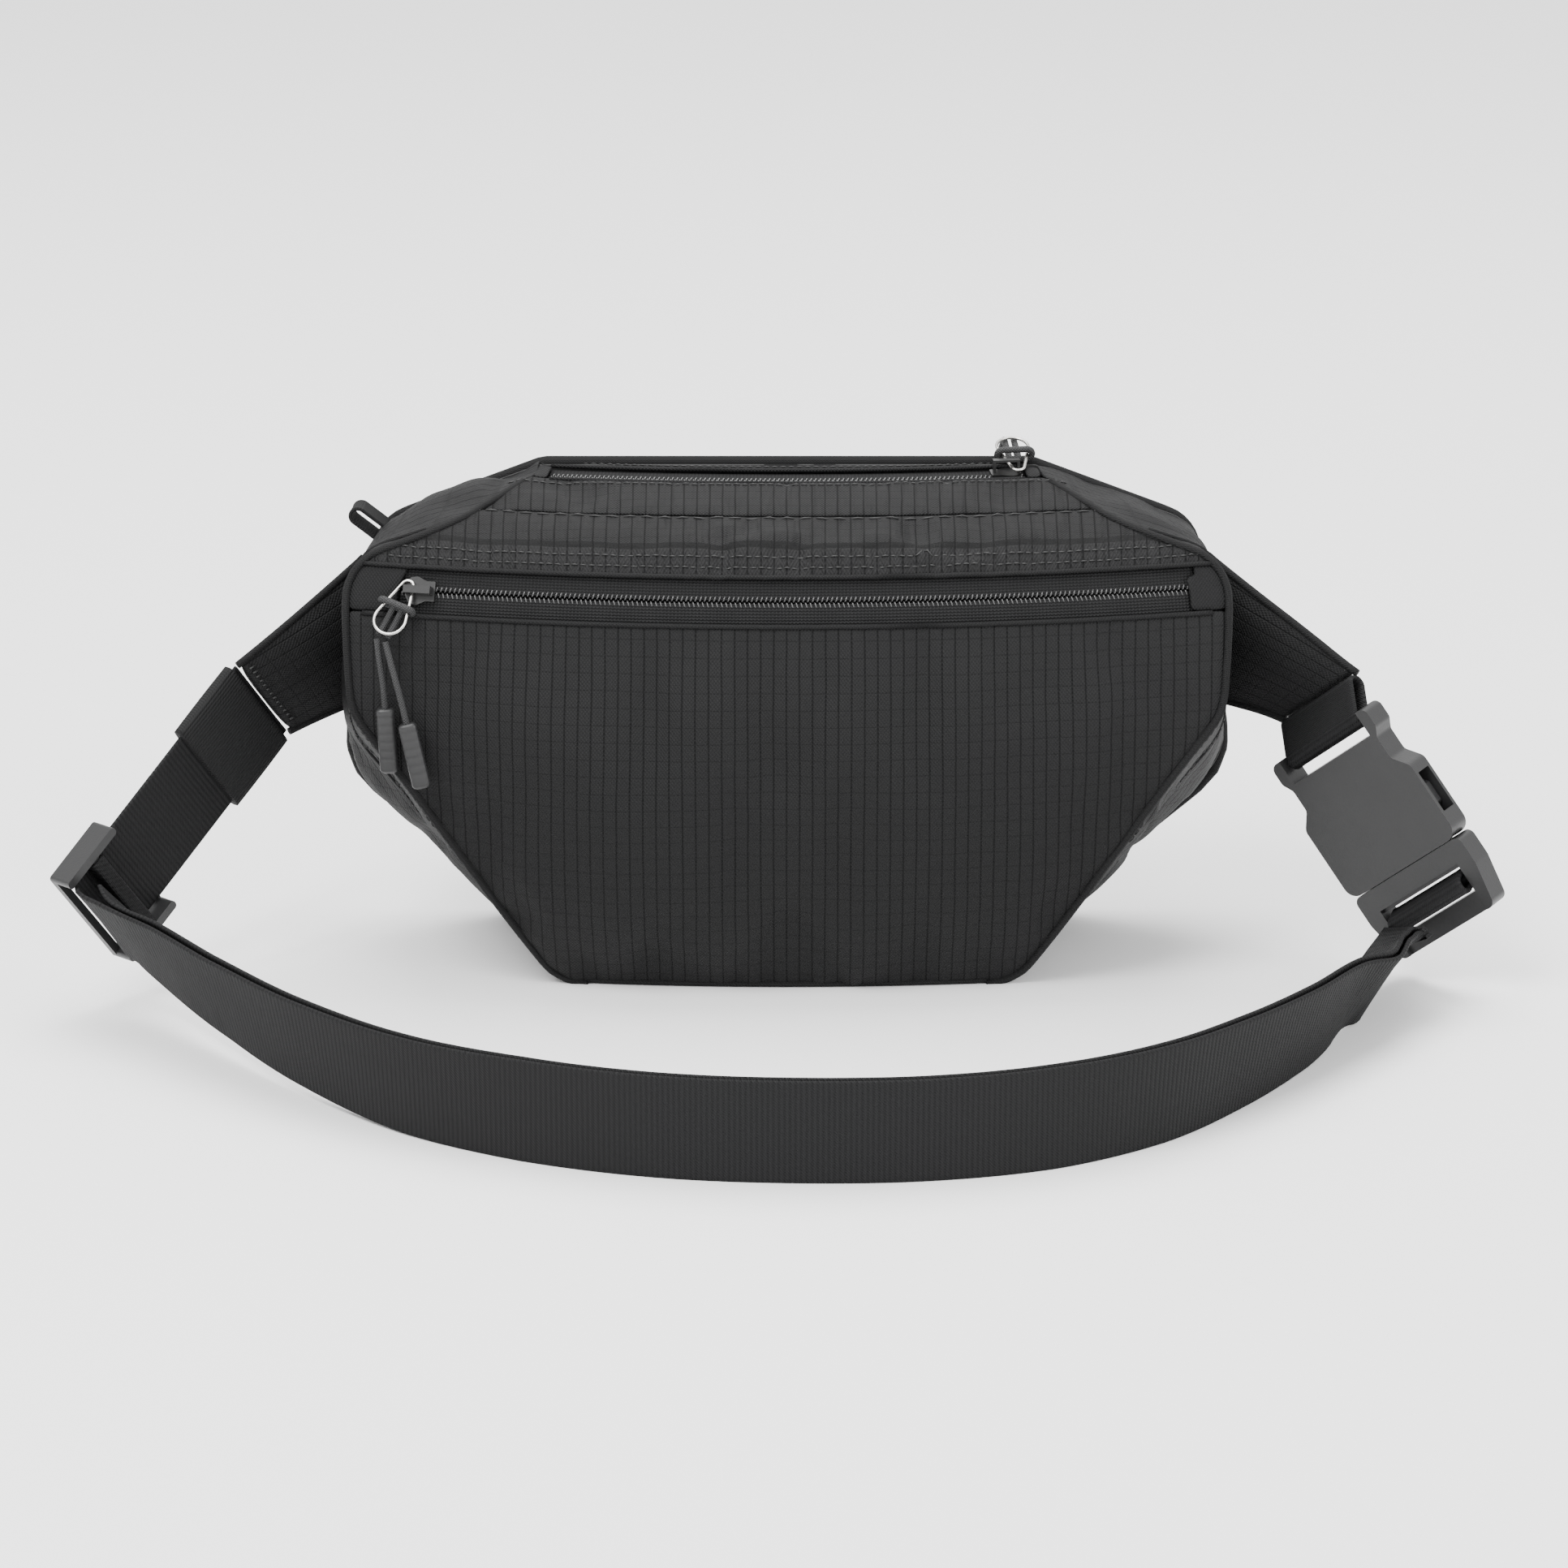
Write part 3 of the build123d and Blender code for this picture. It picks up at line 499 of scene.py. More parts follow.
def rimPoint(u):
    y = rimY(u)
    x, z = outline(u, y)
    return x, y, z


topU = solveU(lambda u: outline(u, bag["back"])[1] < bag["height"], 5.9, 7.2)
zipLowU = solveU(lambda u: rimPoint(u)[2] < bag["zipLowZ"], 2.2, topU)
zipHighU = solveU(lambda u: rimPoint(u)[2] < bag["zipHighZ"], zipLowU, topU)
seamU = solveU(lambda u: rimPoint(u)[2] < bag["seamZ"], zipHighU, topU)
slotFrontU = solveU(lambda u: profileY(*rimPoint(u)[:2]) < bag["zipFrontY"] + 0.05, seamU, topU)
slotRearU = solveU(lambda u: profileY(*rimPoint(u)[:2]) < bag["zipRearY"], slotFrontU, topU)
print("stage rim", [round(u, 2) for u in (zipLowU, zipHighU, seamU, slotFrontU, topU)])


def spread(low, high, step):
    samples = [low + (high - low) * i / 200 for i in range(201)]
    points = [Vector(rimPoint(u)) for u in samples]
    runs = [0.0]
    for p, q in zip(points, points[1:]):
        runs.append(runs[-1] + (q - p).length)
    count = max(1, round(runs[-1] / step))
    out = []
    for i in range(count):
        goal = runs[-1] * i / count
        k = max(j for j in range(201) if runs[j] <= goal + 1e-9)
        out.append(samples[k])
    return out


marks = [1.0, zipLowU, zipHighU, seamU, slotFrontU, slotRearU, topU]
rowUs = []
rowBand = []
for band, (low, high) in enumerate(zip(marks, marks[1:])):
    for u in spread(low, high, 5.0):
        rowUs.append(u)
        rowBand.append(band)
rowUs.append(topU)
rims = [rimPoint(u) for u in rowUs]
columns = 66
baseRadius = bag["turnY"] - bag["baseFrontY"]
baseHalf = rims[0][0]
baseAngle = math.asin(baseHalf / baseRadius)
shares = [math.sin(baseAngle * (2 * k / columns - 1)) / math.sin(baseAngle) for k in range(columns + 1)]
baseEdge = [(baseHalf * s, bag["turnY"] - math.sqrt(baseRadius ** 2 - (baseHalf * s) ** 2)) for s in shares]
depthBack = 11
depthFront = 8

verts = []
faces = []
faceTag = []
uvOf = []
pinned = set()


def addVert(point, pin=False):
    verts.append(Vector(point) * mm)
    if pin:
        pinned.add(len(verts) - 1)
    return len(verts) - 1


def addFace(ids, tag, uvs):
    faces.append(ids)
    faceTag.append(tag)
    uvOf.append(uvs)


def addGrid(points, tagOf, uvAt, pinAt):
    ids = [[addVert(p, pinAt(i, k)) for k, p in enumerate(row)] for i, row in enumerate(points)]
    for i in range(len(points) - 1):
        for k in range(len(points[0]) - 1):
            tag = tagOf(i, k)
            square = [(i, k), (i, k + 1), (i + 1, k + 1), (i + 1, k)]
            addFace([ids[a][b] for a, b in square], tag, [uvAt(points[a][b]) for a, b in square])


seamRows = {i for i, u in enumerate(rowUs) if u in marks}
sheetRows = []
for x, y, z in rims:
    r = math.hypot(x, bag["turnY"] - y)
    half = math.asin(x / r)
    turns = [half * (2 * k / columns - 1) for k in range(columns + 1)]
    sheetRows.append([(r * math.sin(turn), bag["turnY"] - r * math.cos(turn), z) for turn in turns])
sheetRows[0] = [(x, y, 0.0) for x, y in baseEdge]
sheetRows.append([(rims[-1][0] * s, bag["back"], bag["height"]) for s in shares])


def sheetTag(i, k):
    band = rowBand[i] if i < len(rowBand) else 6
    x = (sheetRows[i][k][0] + sheetRows[i][k + 1][0]) / 2
    if band == 0:
        return "front_lower_panel"
    if band == 1:
        return "zip_start_patch" if x < -141.5 else ("zip_end_tab" if x > 147 else "")
    if band == 2:
        return "front_upper_panel"
    if band == 3:
        return "top_gusset_front"
    if band == 4:
        return "main_zip_end_left" if x < -88 else ("main_zip_end_right" if x > 88 else "")
    return "top_gusset_rear"


addGrid(sheetRows, sheetTag, lambda p: (p[0] * mm, (p[2] + p[1] * (1.0 if p[2] > 170 else 0.0)) * mm),
        lambda i, k: k in (0, columns) or i in seamRows or i >= len(rims) - 1)
# walls
for sign, side in ((-1, "left"), (1, "right")):
    rows = []
    for u, (_, ry, _) in zip(rowUs, rims):
        mid = max(ry, bag["divider"])
        ys = [bag["back"] + (mid - bag["back"]) * i / depthBack for i in range(depthBack)]
        ys += [mid + (ry - mid) * i / depthFront for i in range(depthFront + 1)]
        row = []
        for y in ys:
            x, z = outline(u, y)
            row.append((sign * x, y, min(z, bag["height"])))
        rows.append(row)
    addGrid(rows, lambda i, k, side=side: f"{'side' if k < depthBack else 'pocket'}_gusset_{side}",
            lambda p: (p[1] * mm, p[2] * mm),
            lambda i, k: k in (0, depthBack, depthBack + depthFront) or i in (0, len(rowUs) - 1))
# base
baseRows = []
for s, (x, end) in zip(shares, baseEdge):
    mid = bag["divider"]
    ys = [bag["back"] + (mid - bag["back"]) * i / depthBack for i in range(depthBack)]
    ys += [mid + (end - mid) * i / depthFront for i in range(depthFront + 1)]
    row = []
    for y in ys:
        row.append((outline(1.0, y)[0] * s, y, 0.0))
    row[-1] = (x, end, 0.0)
    baseRows.append(row)
addGrid(baseRows, lambda i, k: "base_panel", lambda p: (p[0] * mm, p[1] * mm), lambda i, k: True)
# back
backRows = []
for u in rowUs:
    x, z = outline(u, bag["back"])
    backRows.append([(x * s, bag["back"], min(z, bag["height"])) for s in shares])
addGrid(backRows, lambda i, k: "back_panel", lambda p: (p[0] * mm, p[2] * mm),
        lambda i, k: k in (0, columns) or i in (0, len(rowUs) - 1))

bm = bmesh.new()
pinLayer = bm.verts.layers.int.new("pin")
tagLayer = bm.faces.layers.int.new("tag")
uvLayer = bm.loops.layers.uv.new("cloth")
made = [bm.verts.new(v) for v in verts]
tags = sorted(set(faceTag))
for i in pinned:
    made[i][pinLayer] = 1
for ids, tag, uvs in zip(faces, faceTag, uvOf):
    try:
        face = bm.faces.new([made[i] for i in ids])
    except ValueError:
        continue
    face[tagLayer] = tags.index(tag)
    for loop, uv in zip(face.loops, uvs):
        loop[uvLayer].uv = uv
bmesh.ops.remove_doubles(bm, verts=bm.verts, dist=0.25 * mm)
bmesh.ops.dissolve_degenerate(bm, dist=0.05 * mm, edges=bm.edges)
bmesh.ops.recalc_face_normals(bm, faces=bm.faces)
openEdges = sum(1 for e in bm.edges if len(e.link_faces) != 2)
skinMesh = bpy.data.meshes.new("bagSkin")
bm.to_mesh(skinMesh)
bm.free()
skin = bpy.data.objects.new("bagSkin", skinMesh)
bpy.context.scene.collection.objects.link(skin)
print("stage skin", len(skinMesh.vertices), "open edges", openEdges)


# the skin puffs between its seams
def puff(obj, frames=16, pressure=4.0):
    group = obj.vertex_groups.new(name="seams")
    layer = obj.data.attributes["pin"]
    held = [i for i, value in enumerate(layer.data) if value.value]
    group.add(held, 1.0, "REPLACE")
    rest = [v.co.copy() for v in obj.data.vertices]
    cloth = obj.modifiers.new("cloth", "CLOTH")
    cloth.settings.quality = 5
    cloth.settings.mass = 0.25
    cloth.settings.tension_stiffness = 8
    cloth.settings.compression_stiffness = 8
    cloth.settings.bending_stiffness = 0.8
    cloth.settings.use_pressure = True
    cloth.settings.uniform_pressure_force = pressure
    cloth.settings.vertex_group_mass = "seams"
    cloth.settings.effector_weights.gravity = 0.0
    cloth.settings.shrink_min = -0.025
    cloth.point_cache.frame_start = 1
    cloth.point_cache.frame_end = frames
    scene = bpy.context.scene
    for f in range(1, frames + 1):
        scene.frame_set(f)
    shaped = obj.evaluated_get(bpy.context.evaluated_depsgraph_get())
    moved = [v.co.copy() for v in shaped.data.vertices]
    obj.modifiers.remove(cloth)
    scene.frame_set(1)
    return rest, moved


def cap(co):
    # the skin stays flat where the pull hangs at either end of its travel, and round the zips
    limit = 6.0 * mm
    past = max(-118 * mm - co.x, co.x - 108 * mm, 0.0)
    nearPull = max(0.0, 1.0 - past / (14 * mm))
    if co.y < 0 and co.z > 70 * mm:
        limit = min(limit, 0.6 * mm + 6 * mm * nearPull)
    if co.y > 41 * mm:
        limit = 3.0 * mm
    if co.z > 176 * mm:
        limit = 1.2 * mm
    return limit


rest, moved = puff(skin)
for vertex, a, b in zip(skin.data.vertices, rest, moved):
    shift = b - a
    most = cap(a)
    if shift.length > most:
        shift *= most / shift.length
    slack = min(1.0, shift.length / (2.5 * mm)) * min(1.0, most / (5 * mm))
    drape = noise.noise(Vector((a.x * 17, a.y * 15, a.z * 9)))
    drape += 0.5 * noise.noise(Vector((a.x * 46, a.y * 40, a.z * 21)))
    if shift.length > 0.2 * mm:
        shift += shift.normalized() * (drape * slack * 3.2 * mm)
    vertex.co = a + shift
print("stage cloth", max((b - a).length for a, b in zip(rest, moved)))

bm = bmesh.new()
bm.from_mesh(skin.data)
bm.normal_update()
skinTree = BVHTree.FromBMesh(bm)
tagLayer = bm.faces.layers.int["tag"]
uvLayer = bm.loops.layers.uv["cloth"]
patches = {tag: [] for tag in tags}
for face in bm.faces:
    patches[tags[face[tagLayer]]].append(
        ([v.index for v in face.verts], [tuple(l[uvLayer].uv) for l in face.loops]))
spots = [v.co.copy() for v in bm.verts]
bm.free()
bpy.data.objects.remove(skin)

panelLook = {
    "top_gusset_front": "bagPleated", "front_upper_panel": "bagPleated", "top_gusset_rear": "plainCloth",
    "zip_start_patch": "plainCloth", "zip_end_tab": "plainCloth", "main_zip_end_left": "plainCloth",
    "main_zip_end_right": "plainCloth",
}
panelThick = 1.1 * mm
for tag, items in patches.items():
    if not tag:
        continue
    used = sorted({i for ids, _ in items for i in ids})
    where = {i: k for k, i in enumerate(used)}
    mesh = bpy.data.meshes.new(tag + "_cloth")
    mesh.from_pydata([tuple(spots[i]) for i in used], [], [[where[i] for i in ids] for ids, _ in items])
    layer = mesh.uv_layers.new(name="cloth")
    for polygon, (_, uvs) in zip(mesh.polygons, items):
        for loop, uv in zip(polygon.loop_indices, uvs):
            layer.data[loop].uv = uv
        polygon.use_smooth = True
    mesh.materials.append(looks[panelLook.get(tag, "bag")])
    obj = bpy.data.objects.new(tag + "_cloth", mesh)
    bpy.context.scene.collection.objects.link(obj)
    solid = obj.modifiers.new("thick", "SOLIDIFY")
    solid.thickness = panelThick
    solid.offset = -1.0
    smooth = obj.modifiers.new("smooth", "SUBSURF")
    smooth.levels = 1
    smooth.render_levels = 1
    replaced = [tag] + (["back_foam"] if tag == "back_panel" else [])
    place(obj, "bag", "bag_fabric", *replaced)
    tag == "back_panel"
print("stage panels", len(patches))


def onSkin(point, lift):
    found, normal, _, _ = skinTree.find_nearest(Vector(point))
    if normal.dot(found - Vector((0, 0, 90 * mm))) < 0:
        normal = -normal
    return found + normal * lift, normal


def resample(points, step):
    runs = [0.0]
    for p, q in zip(points, points[1:]):
        runs.append(runs[-1] + (q - p).length)
    count = max(2, round(runs[-1] / step))
    out = []
    k = 0
    for i in range(count + 1):
        goal = runs[-1] * i / count
        while k < len(points) - 2 and runs[k + 1] < goal:
            k += 1
        t = (goal - runs[k]) / max(1e-9, runs[k + 1] - runs[k])
        out.append(points[k].lerp(points[k + 1], min(1.0, t)))
    return out


def stitchParts(points, lift, pitch=3.1 * mm, length=2.2 * mm, radius=0.27 * mm, snap=True):
    parts = []
    path = resample(points, pitch)
    for p, q in zip(path, path[1:]):
        way = (q - p).normalized()
        a = p + way * ((pitch - length) / 2)
        b = a + way * length
        middle = (a + b) / 2
        if snap:
            a = onSkin(a, lift * 0.2)[0]
            b = onSkin(b, lift * 0.2)[0]
            middle = onSkin(middle, lift)[0]
        parts.append(tube([a, middle, b], radius, 5))
    return parts


def turnedPath(y, z, x0, x1, step=3.0):
    r = bag["turnY"] - y
    a0 = math.asin(x0 / r)
    a1 = math.asin(x1 / r)
    count = max(2, round(r * abs(a1 - a0) / step))
    turns = [a0 + (a1 - a0) * i / count for i in range(count + 1)]
    return [Vector((r * math.sin(turn), bag["turnY"] - r * math.cos(turn), z)) * mm for turn in turns]


def turnedSweep(name, section, x0, x1, look):
    loops = []
    uvRows = []
    steps = 90
    middle = bag["turnY"] - section[0][0]
    a0 = math.asin(x0 / middle)
    a1 = math.asin(x1 / middle)
    widths = [0.0]
    for p, q in zip(section, section[1:]):
        widths.append(widths[-1] + math.dist(p, q) * mm)
    for i in range(steps + 1):
        turn = a0 + (a1 - a0) * i / steps
        row = []
        for y, z in section:
            r = bag["turnY"] - y
            row.append(Vector((r * math.sin(turn), bag["turnY"] - r * math.cos(turn), z)) * mm)
        loops.append(row)
        uvRows.append([(w, middle * turn * mm) for w in widths])
    return sweepLoops(name, loops, look, uvRows)


# zips: knitted tapes with a coil sewn along each edge
zips = {
    "front": {"low": (-48.5, 146.0), "high": (-41.0, 161.5), "from": -141.0, "to": 147.0,
              "sides": ("lower", "upper")},
    "main": {"low": (14.0, 181.0), "high": (28.0, 181.0), "from": -88.0, "to": 88.0,
             "sides": ("front", "rear")},
}
zipSlot = 0.7
tapeSink = 1.5
coilPitch = 1.7
for name, z in zips.items():
    half = math.dist(z["low"], z["high"]) / 2
    lean = math.atan2(z["high"][0] - z["low"][0], z["high"][1] - z["low"][1])
    midY = (z["low"][0] + z["high"][0]) / 2
    midZ = (z["low"][1] + z["high"][1]) / 2

    def at(up, depth):
        return (midY + up * math.sin(lean) + depth * math.cos(lean),
                midZ + up * math.cos(lean) - depth * math.sin(lean))

    for sign, side in zip((-1, 1), z["sides"]):
        edges = [(zipSlot, tapeSink + 0.15), (zipSlot + 0.5, tapeSink),
                 (2.4, tapeSink - 0.05), (3.0, tapeSink + 0.1),
                 (half, tapeSink + 0.1), (half + 1.6, tapeSink + 0.3), (half + 1.6, tapeSink + 0.8),
                 (3.0, tapeSink + 0.8), (zipSlot, tapeSink + 0.8)]
        strip = turnedSweep(f"{name}_tape_{side}_knit", [at(sign * u, d) for u, d in edges],
                            z["from"] - 1.5, z["to"] + 1.5, "tape")
        place(strip, "bag", "zip_tape", f"{name}_zip_tape_{side}")
        r = bag["turnY"] - midY
        a0 = math.asin(z["from"] / r)
        a1 = math.asin(z["to"] / r)
        turns = int(r * (a1 - a0) / coilPitch)
        points = []
        for i in range(turns * 8):
            share = i / (turns * 8)
            wind = 2 * math.pi * i / 8 + (0 if sign > 0 else math.pi)
            y, zz = at(sign * (1.15 + 1.0 * math.cos(wind)), tapeSink + 0.75 + 0.75 * math.sin(wind))
            turn = a0 + (a1 - a0) * share
            rr = bag["turnY"] - y
            points.append(Vector((rr * math.sin(turn), bag["turnY"] - rr * math.cos(turn), zz)) * mm)
        coil = gather(f"{name}_coil_{side}_turns", [tube(points, 0.36 * mm, 5)], "coil")
        place(coil, "bag", "zip_coil", f"{name}_zip_coil_{side}")
print("stage zips")

# folded hems beside the zips, and rows of stitches
hems = []
for y, zz, x0, x1 in ((-41.2, 162.0, -155, 155), (-48.9, 145.4, -155, 155)):
    path = [onSkin(p, 0.1 * mm)[0] for p in turnedPath(y, zz, x0, x1)]
    hems.append(tube(path, 0.95 * mm, 8))
for y, zz in ((13.0, 181.0), (29.0, 181.0)):
    hems.append(tube(turnedPath(y, zz - 0.3, -88, 88), 0.8 * mm, 8))
place(gather("zip_hems", hems, "plainCloth"), "bag", "bag_fabric")

rows = []
for y, zz, x0, x1 in ((-38.5, 164.6, -146, 152), (-35.0, 167.4, -144, 150)):
    rows += stitchParts(turnedPath(y, zz, x0, x1, 5.0), 0.30 * mm)
rows += stitchParts(turnedPath(9.5, 180.2, -104, 104, 5.0), 0.30 * mm)
rows += stitchParts(turnedPath(-14.5, 175.2, -118, 118, 5.0), 0.35 * mm, 6.4 * mm, 4.4 * mm, 0.32 * mm)
rows += stitchParts(turnedPath(32.0, 181.0, -86, 86, 5.0), 0.30 * mm)
place(gather("zip_stitches", rows, "stitch"), "bag", "webbing")
print("stage stitches", len(rows))

# bound seams round the front panel, round the back and along the divider
bindings = []
for sign in (-1, 1):
    rim = [Vector((sign * x, y, zz)) * mm for x, y, zz in rims if zz < 180.6]
    bindings.append(tube(resample(rim, 3.0 * mm), 1.5 * mm, 8))
baseRim = [Vector((x, y, 0.9)) * mm for x, y in baseEdge]
bindings.append(tube([p + Vector((0, 0, 0.6 * mm)) for p in baseRim], 1.4 * mm, 8))
place(gather("front_piping", bindings, "binding"), "bag", "webbing")
loop = []
for sign in (1, -1):
    part = []
    for u in rowUs:
        x, zz = outline(u, bag["back"])
        part.append(Vector((sign * x, 38.6, min(zz, bag["height"]) )) * mm)
    loop += part if sign > 0 else part[::-1]
loop = resample(loop + [loop[0]], 3.0 * mm)[:-1]
inward = [Vector((p.x * 0.995, p.y, max(p.z, 2.3 * mm))) for p in loop]
back = gather("back_binding_tape", [tube(inward, 2.4 * mm, 10, True)], "binding")
place(back, "bag", "webbing", "back_binding")
seams = []
for sign in (-1, 1):
    path = []
    for u in rowUs:
        if rimY(u) < bag["divider"] - 6:
            x, zz = outline(u, bag["divider"])
            path.append(Vector((sign * x, bag["divider"] + 0.4, zz)) * mm)
    seams.append(tube(resample(path, 3.0 * mm), 0.9 * mm, 6))
place(gather("gusset_piping", seams, "binding"), "bag", "webbing")
gussetRows = []
for sign in (-1, 1):
    for shift in (6.0, -15.0):
        path = []
        for u in rowUs:
            y = rimY(u) + shift if shift > 0 else bag["divider"] - 4
            if rimY(u) < bag["divider"] - 12 and outline(u, y)[1] > 2:
                x, zz = outline(u, y)
                path.append(Vector((sign * x, y, zz)) * mm)
        gussetRows += stitchParts(path, 0.30 * mm)
place(gather("gusset_stitches", gussetRows, "stitch"), "bag", "webbing")
print("stage bindings")

# wings
strapWay = Vector((-0.55102, -0.58847, -0.59168))
leftEnd = Vector((-195, 3, 100))
webbingWide = 38.0
webbingThick = 1.5
loopHalf = 3.05
leftUp = Vector((-0.44, -0.40, 0.80))
buckle = {"mouth": Vector((231, -30, 47)), "x": Vector((0.63216, -0.44944, 0.63117)),
          "y": Vector((-0.55554, 0.30494, 0.77355)), "z": Vector((-0.54013, -0.83965, -0.05691)),
          "ear": 55.5, "bar": -15.0}
earBar = buckle["mouth"] + buckle["y"] * buckle["ear"]
ladderBar = buckle["mouth"] + buckle["y"] * buckle["bar"]
loopWay = Vector((193, 6, 97)) - earBar
loopWay = (loopWay - buckle["x"] * loopWay.dot(buckle["x"])).normalized()
wings = {
    "left": {"root": (-150, 34, 121), "end": leftEnd, "up": leftUp, "way": strapWay},
    "right": {"root": (150, 34, 121), "end": earBar + loopWay * 18.1, "up": buckle["x"], "way": -loopWay},
}
for side, w in wings.items():
    count = 22
    loops = []
    uvRows = []
    edges = ([], [])
    channel = []
    root = Vector(w["root"])
    for i in range(count + 1):
        t = i / count
        ease = t * t * (3 - 2 * t)
        middle = root.lerp(w["end"], t)
        up = Vector((0, 0, 1)).lerp(w["up"], ease).normalized()
        way = (w["end"] - root).normalized().lerp(w["way"], ease)
        up = (up - way.normalized() * up.dot(way.normalized())).normalized()
        normal = way.normalized().cross(up)
        half = 28 + (19.5 - 28) * t ** 0.85
        thick = 3.0 + 2.0 * math.sin(math.pi * min(1, t * 1.15)) if t < 0.87 else 2.5
        section = []
        for k in range(13):
            q = -1 + k / 6
            body = 0.8 + (thick - 0.8) * (1 - abs(q) ** 3.2) * (0.82 if k == 6 else 1.0)
            section.append((q, body))
        ring = [middle + up * (q * half) + normal * h for q, h in section]
        ring += [middle + up * (q * half) - normal * h for q, h in section[::-1]]
        loops.append([p * mm for p in ring])
        run = t * (w["end"] - root).length * mm
        uvRows.append([(q * half * mm, run) for q, _ in section + section[::-1]])
        for k, q in enumerate((-1, 1)):
            edges[k].append((middle + up * (q * half)) * mm)
        channel.append((middle + normal * (thick + 0.1)) * mm)
    wing = sweepLoops(f"{side}_wing_pad", loops, "bag", uvRows)
    smooth = wing.modifiers.new("smooth", "SUBSURF")
    smooth.levels = 1
    smooth.render_levels = 1
    place(wing, "bag", "bag_fabric", f"{side}_wing")
    edging = gather(f"{side}_wing_binding", [tube(e, 1.5 * mm, 8) for e in edges], "binding")
    place(edging, "bag", "webbing")
    # bartack where the webbing is sewn on
    tack = []
    for k in range(13):
        across = (k / 6 - 1) * 15
        a = w["end"] - w["way"] * 4.5 + w["up"] * across
        for face in (1, -1):
            n = w["way"].cross(w["up"]).normalized() * (2.75 * face)
            tack.append(tube([(a + n) * mm, (a + n + w["way"] * 2.6 + w["up"] * 1.2) * mm], 0.35 * mm, 5))
    place(gather(f"{side}_wing_bartack", tack, "stitch"), "bag", "webbing")
print("stage wings")

# belt
tri = Vector((-246.5, -52, 44.7))
outward = Vector((-0.70973, 0.70342, -0.03864))
strapRoute = [
    (leftEnd + strapWay * 0.3, leftUp), (tri - strapWay * 8, leftUp), (tri + strapWay * 4, leftUp),
    (tri + strapWay * 12 - outward * 4.6, (-0.40, -0.46, 0.79)),
]
beltRoute = [
    ((-241.5, -70.5, 35.4), (-0.25, -0.56, 0.79)), ((-227, -84, 31.0), (0, -0.62, 0.78)),
    ((-203, -112, 26.5), (0.06, -0.55, 0.83)), ((-173, -144, 22.5), (0.03, -0.35, 0.94)),
    ((-135, -175, 19.6), (0, -0.12, 0.99)), ((-92, -197, 19.0), (0, 0, 1)), ((-46, -211, 19.0), (0, 0, 1)),
    ((2, -216, 19.0), (0, 0, 1)), ((50, -214, 19.0), (0, 0, 1)), ((94, -203, 19.0), (0, 0, 1)),
    ((132, -182, 19.0), (0, -0.1, 1)), ((162, -153, 18.9), (-0.03, -0.3, 0.95)),
    ((186, -123, 19.0), (-0.05, -0.5, 0.86)), ((203, -96, 19.4), (0, -0.64, 0.77)),
    ((214, -80, 18.4), (0.08, -0.74, 0.67)), ((218.5, -66, 18.8), (0.25, -0.75, 0.61)),
    ((220.8, -57, 20.6), (0.42, -0.70, 0.57)), ((224.6, -50.6, 22.8), (0.52, -0.63, 0.57)),
    ((229.0, -47.1, 26.6), (0.633, -0.45, 0.632)),
]
layerSide = 1.4 * mm
belt = ribbon("belt_webbing_weave", strapRoute + beltRoute, layerSide,
              webbingWide * mm, webbingThick * mm, "webbing")
place(belt, "bag", "webbing", "belt_webbing")
returnStart = (tri + strapWay * 6.5 - outward * 9, (-0.42, -0.43, 0.80))
inner = ribbon("belt_return_weave", [returnStart] + beltRoute, -layerSide,
               webbingWide * mm, webbingThick * mm, "webbing")
place(inner, "bag", "webbing", "belt_return")


def loopBand(name, centre, way, axis, reach, half, thick, width, look):
    other = axis.cross(way).normalized()
    path = []
    for i in range(13):
        turn = math.pi / 2 + math.pi * i / 12
        path.append((Vector((math.cos(turn), math.sin(turn))), 0.0))
    for i in range(13):
        turn = -math.pi / 2 + math.pi * i / 12
        path.append((Vector((math.cos(turn), math.sin(turn))), reach))
    loops = []
    uvRows = []
    run = 0.0
    before = None
    for out, shift in path + path[:1]:
        spot = centre + way * (shift + out.x * half) + other * (out.y * half)
        if before:
            run += (spot - before).length * mm
        before = spot
        normal = way * out.x + other * out.y
        row = []
        uvRow = []
        for q, h in ((-1, 0.5), (-0.95, 1.12), (-0.8, 0.9), (0, 0.9), (0.8, 0.9), (0.95, 1.12), (1, 0.5),
                     (1, -0.5), (0.95, -1.12), (0.8, -0.9), (0, -0.9), (-0.8, -0.9), (-0.95, -1.12),
                     (-1, -0.5)):
            row.append((spot + axis * (q * width / 2) + normal * (h * thick / 2)) * mm)
            uvRow.append((q * width / 2 * mm, run))
        loops.append(row)
        uvRows.append(uvRow)
    return sweepLoops(name, loops[:-1], look, uvRows[:-1], True)


rightLoop = loopBand("right_webbing_loop_weave", earBar, loopWay, buckle["x"], 14.0,
                     loopHalf, webbingThick, webbingWide, "webbing")
place(rightLoop, "bag", "webbing", "right_webbing_loop")
foldWay = Vector((229.0, -47.1, 26.6)) - ladderBar
foldWay = (foldWay - buckle["x"] * foldWay.dot(buckle["x"])).normalized()
fold = loopBand("belt_fold_weave", ladderBar, foldWay, buckle["x"], 5.0,
                loopHalf, webbingThick, webbingWide, "webbing")
place(fold, "buckle_male", "webbing", "belt_fold")
hang = loopBand("hang_loop_weave", Vector((-151.4, 29, 158.0)), Vector((-0.8, 0.1, 0.6)).normalized(),
                Vector((0.1, 1, 0.0)).normalized(), 10.0, 2.9, 1.2, 10.0, "binding")
place(hang, "bag", "webbing", "hang_loop")
cuffMiddle = leftEnd + strapWay * 19 + outward * 1.4
cuffUp = (leftUp - strapWay * leftUp.dot(strapWay)).normalized()
cuffOut = strapWay.cross(cuffUp)
loops = []
uvRows = []
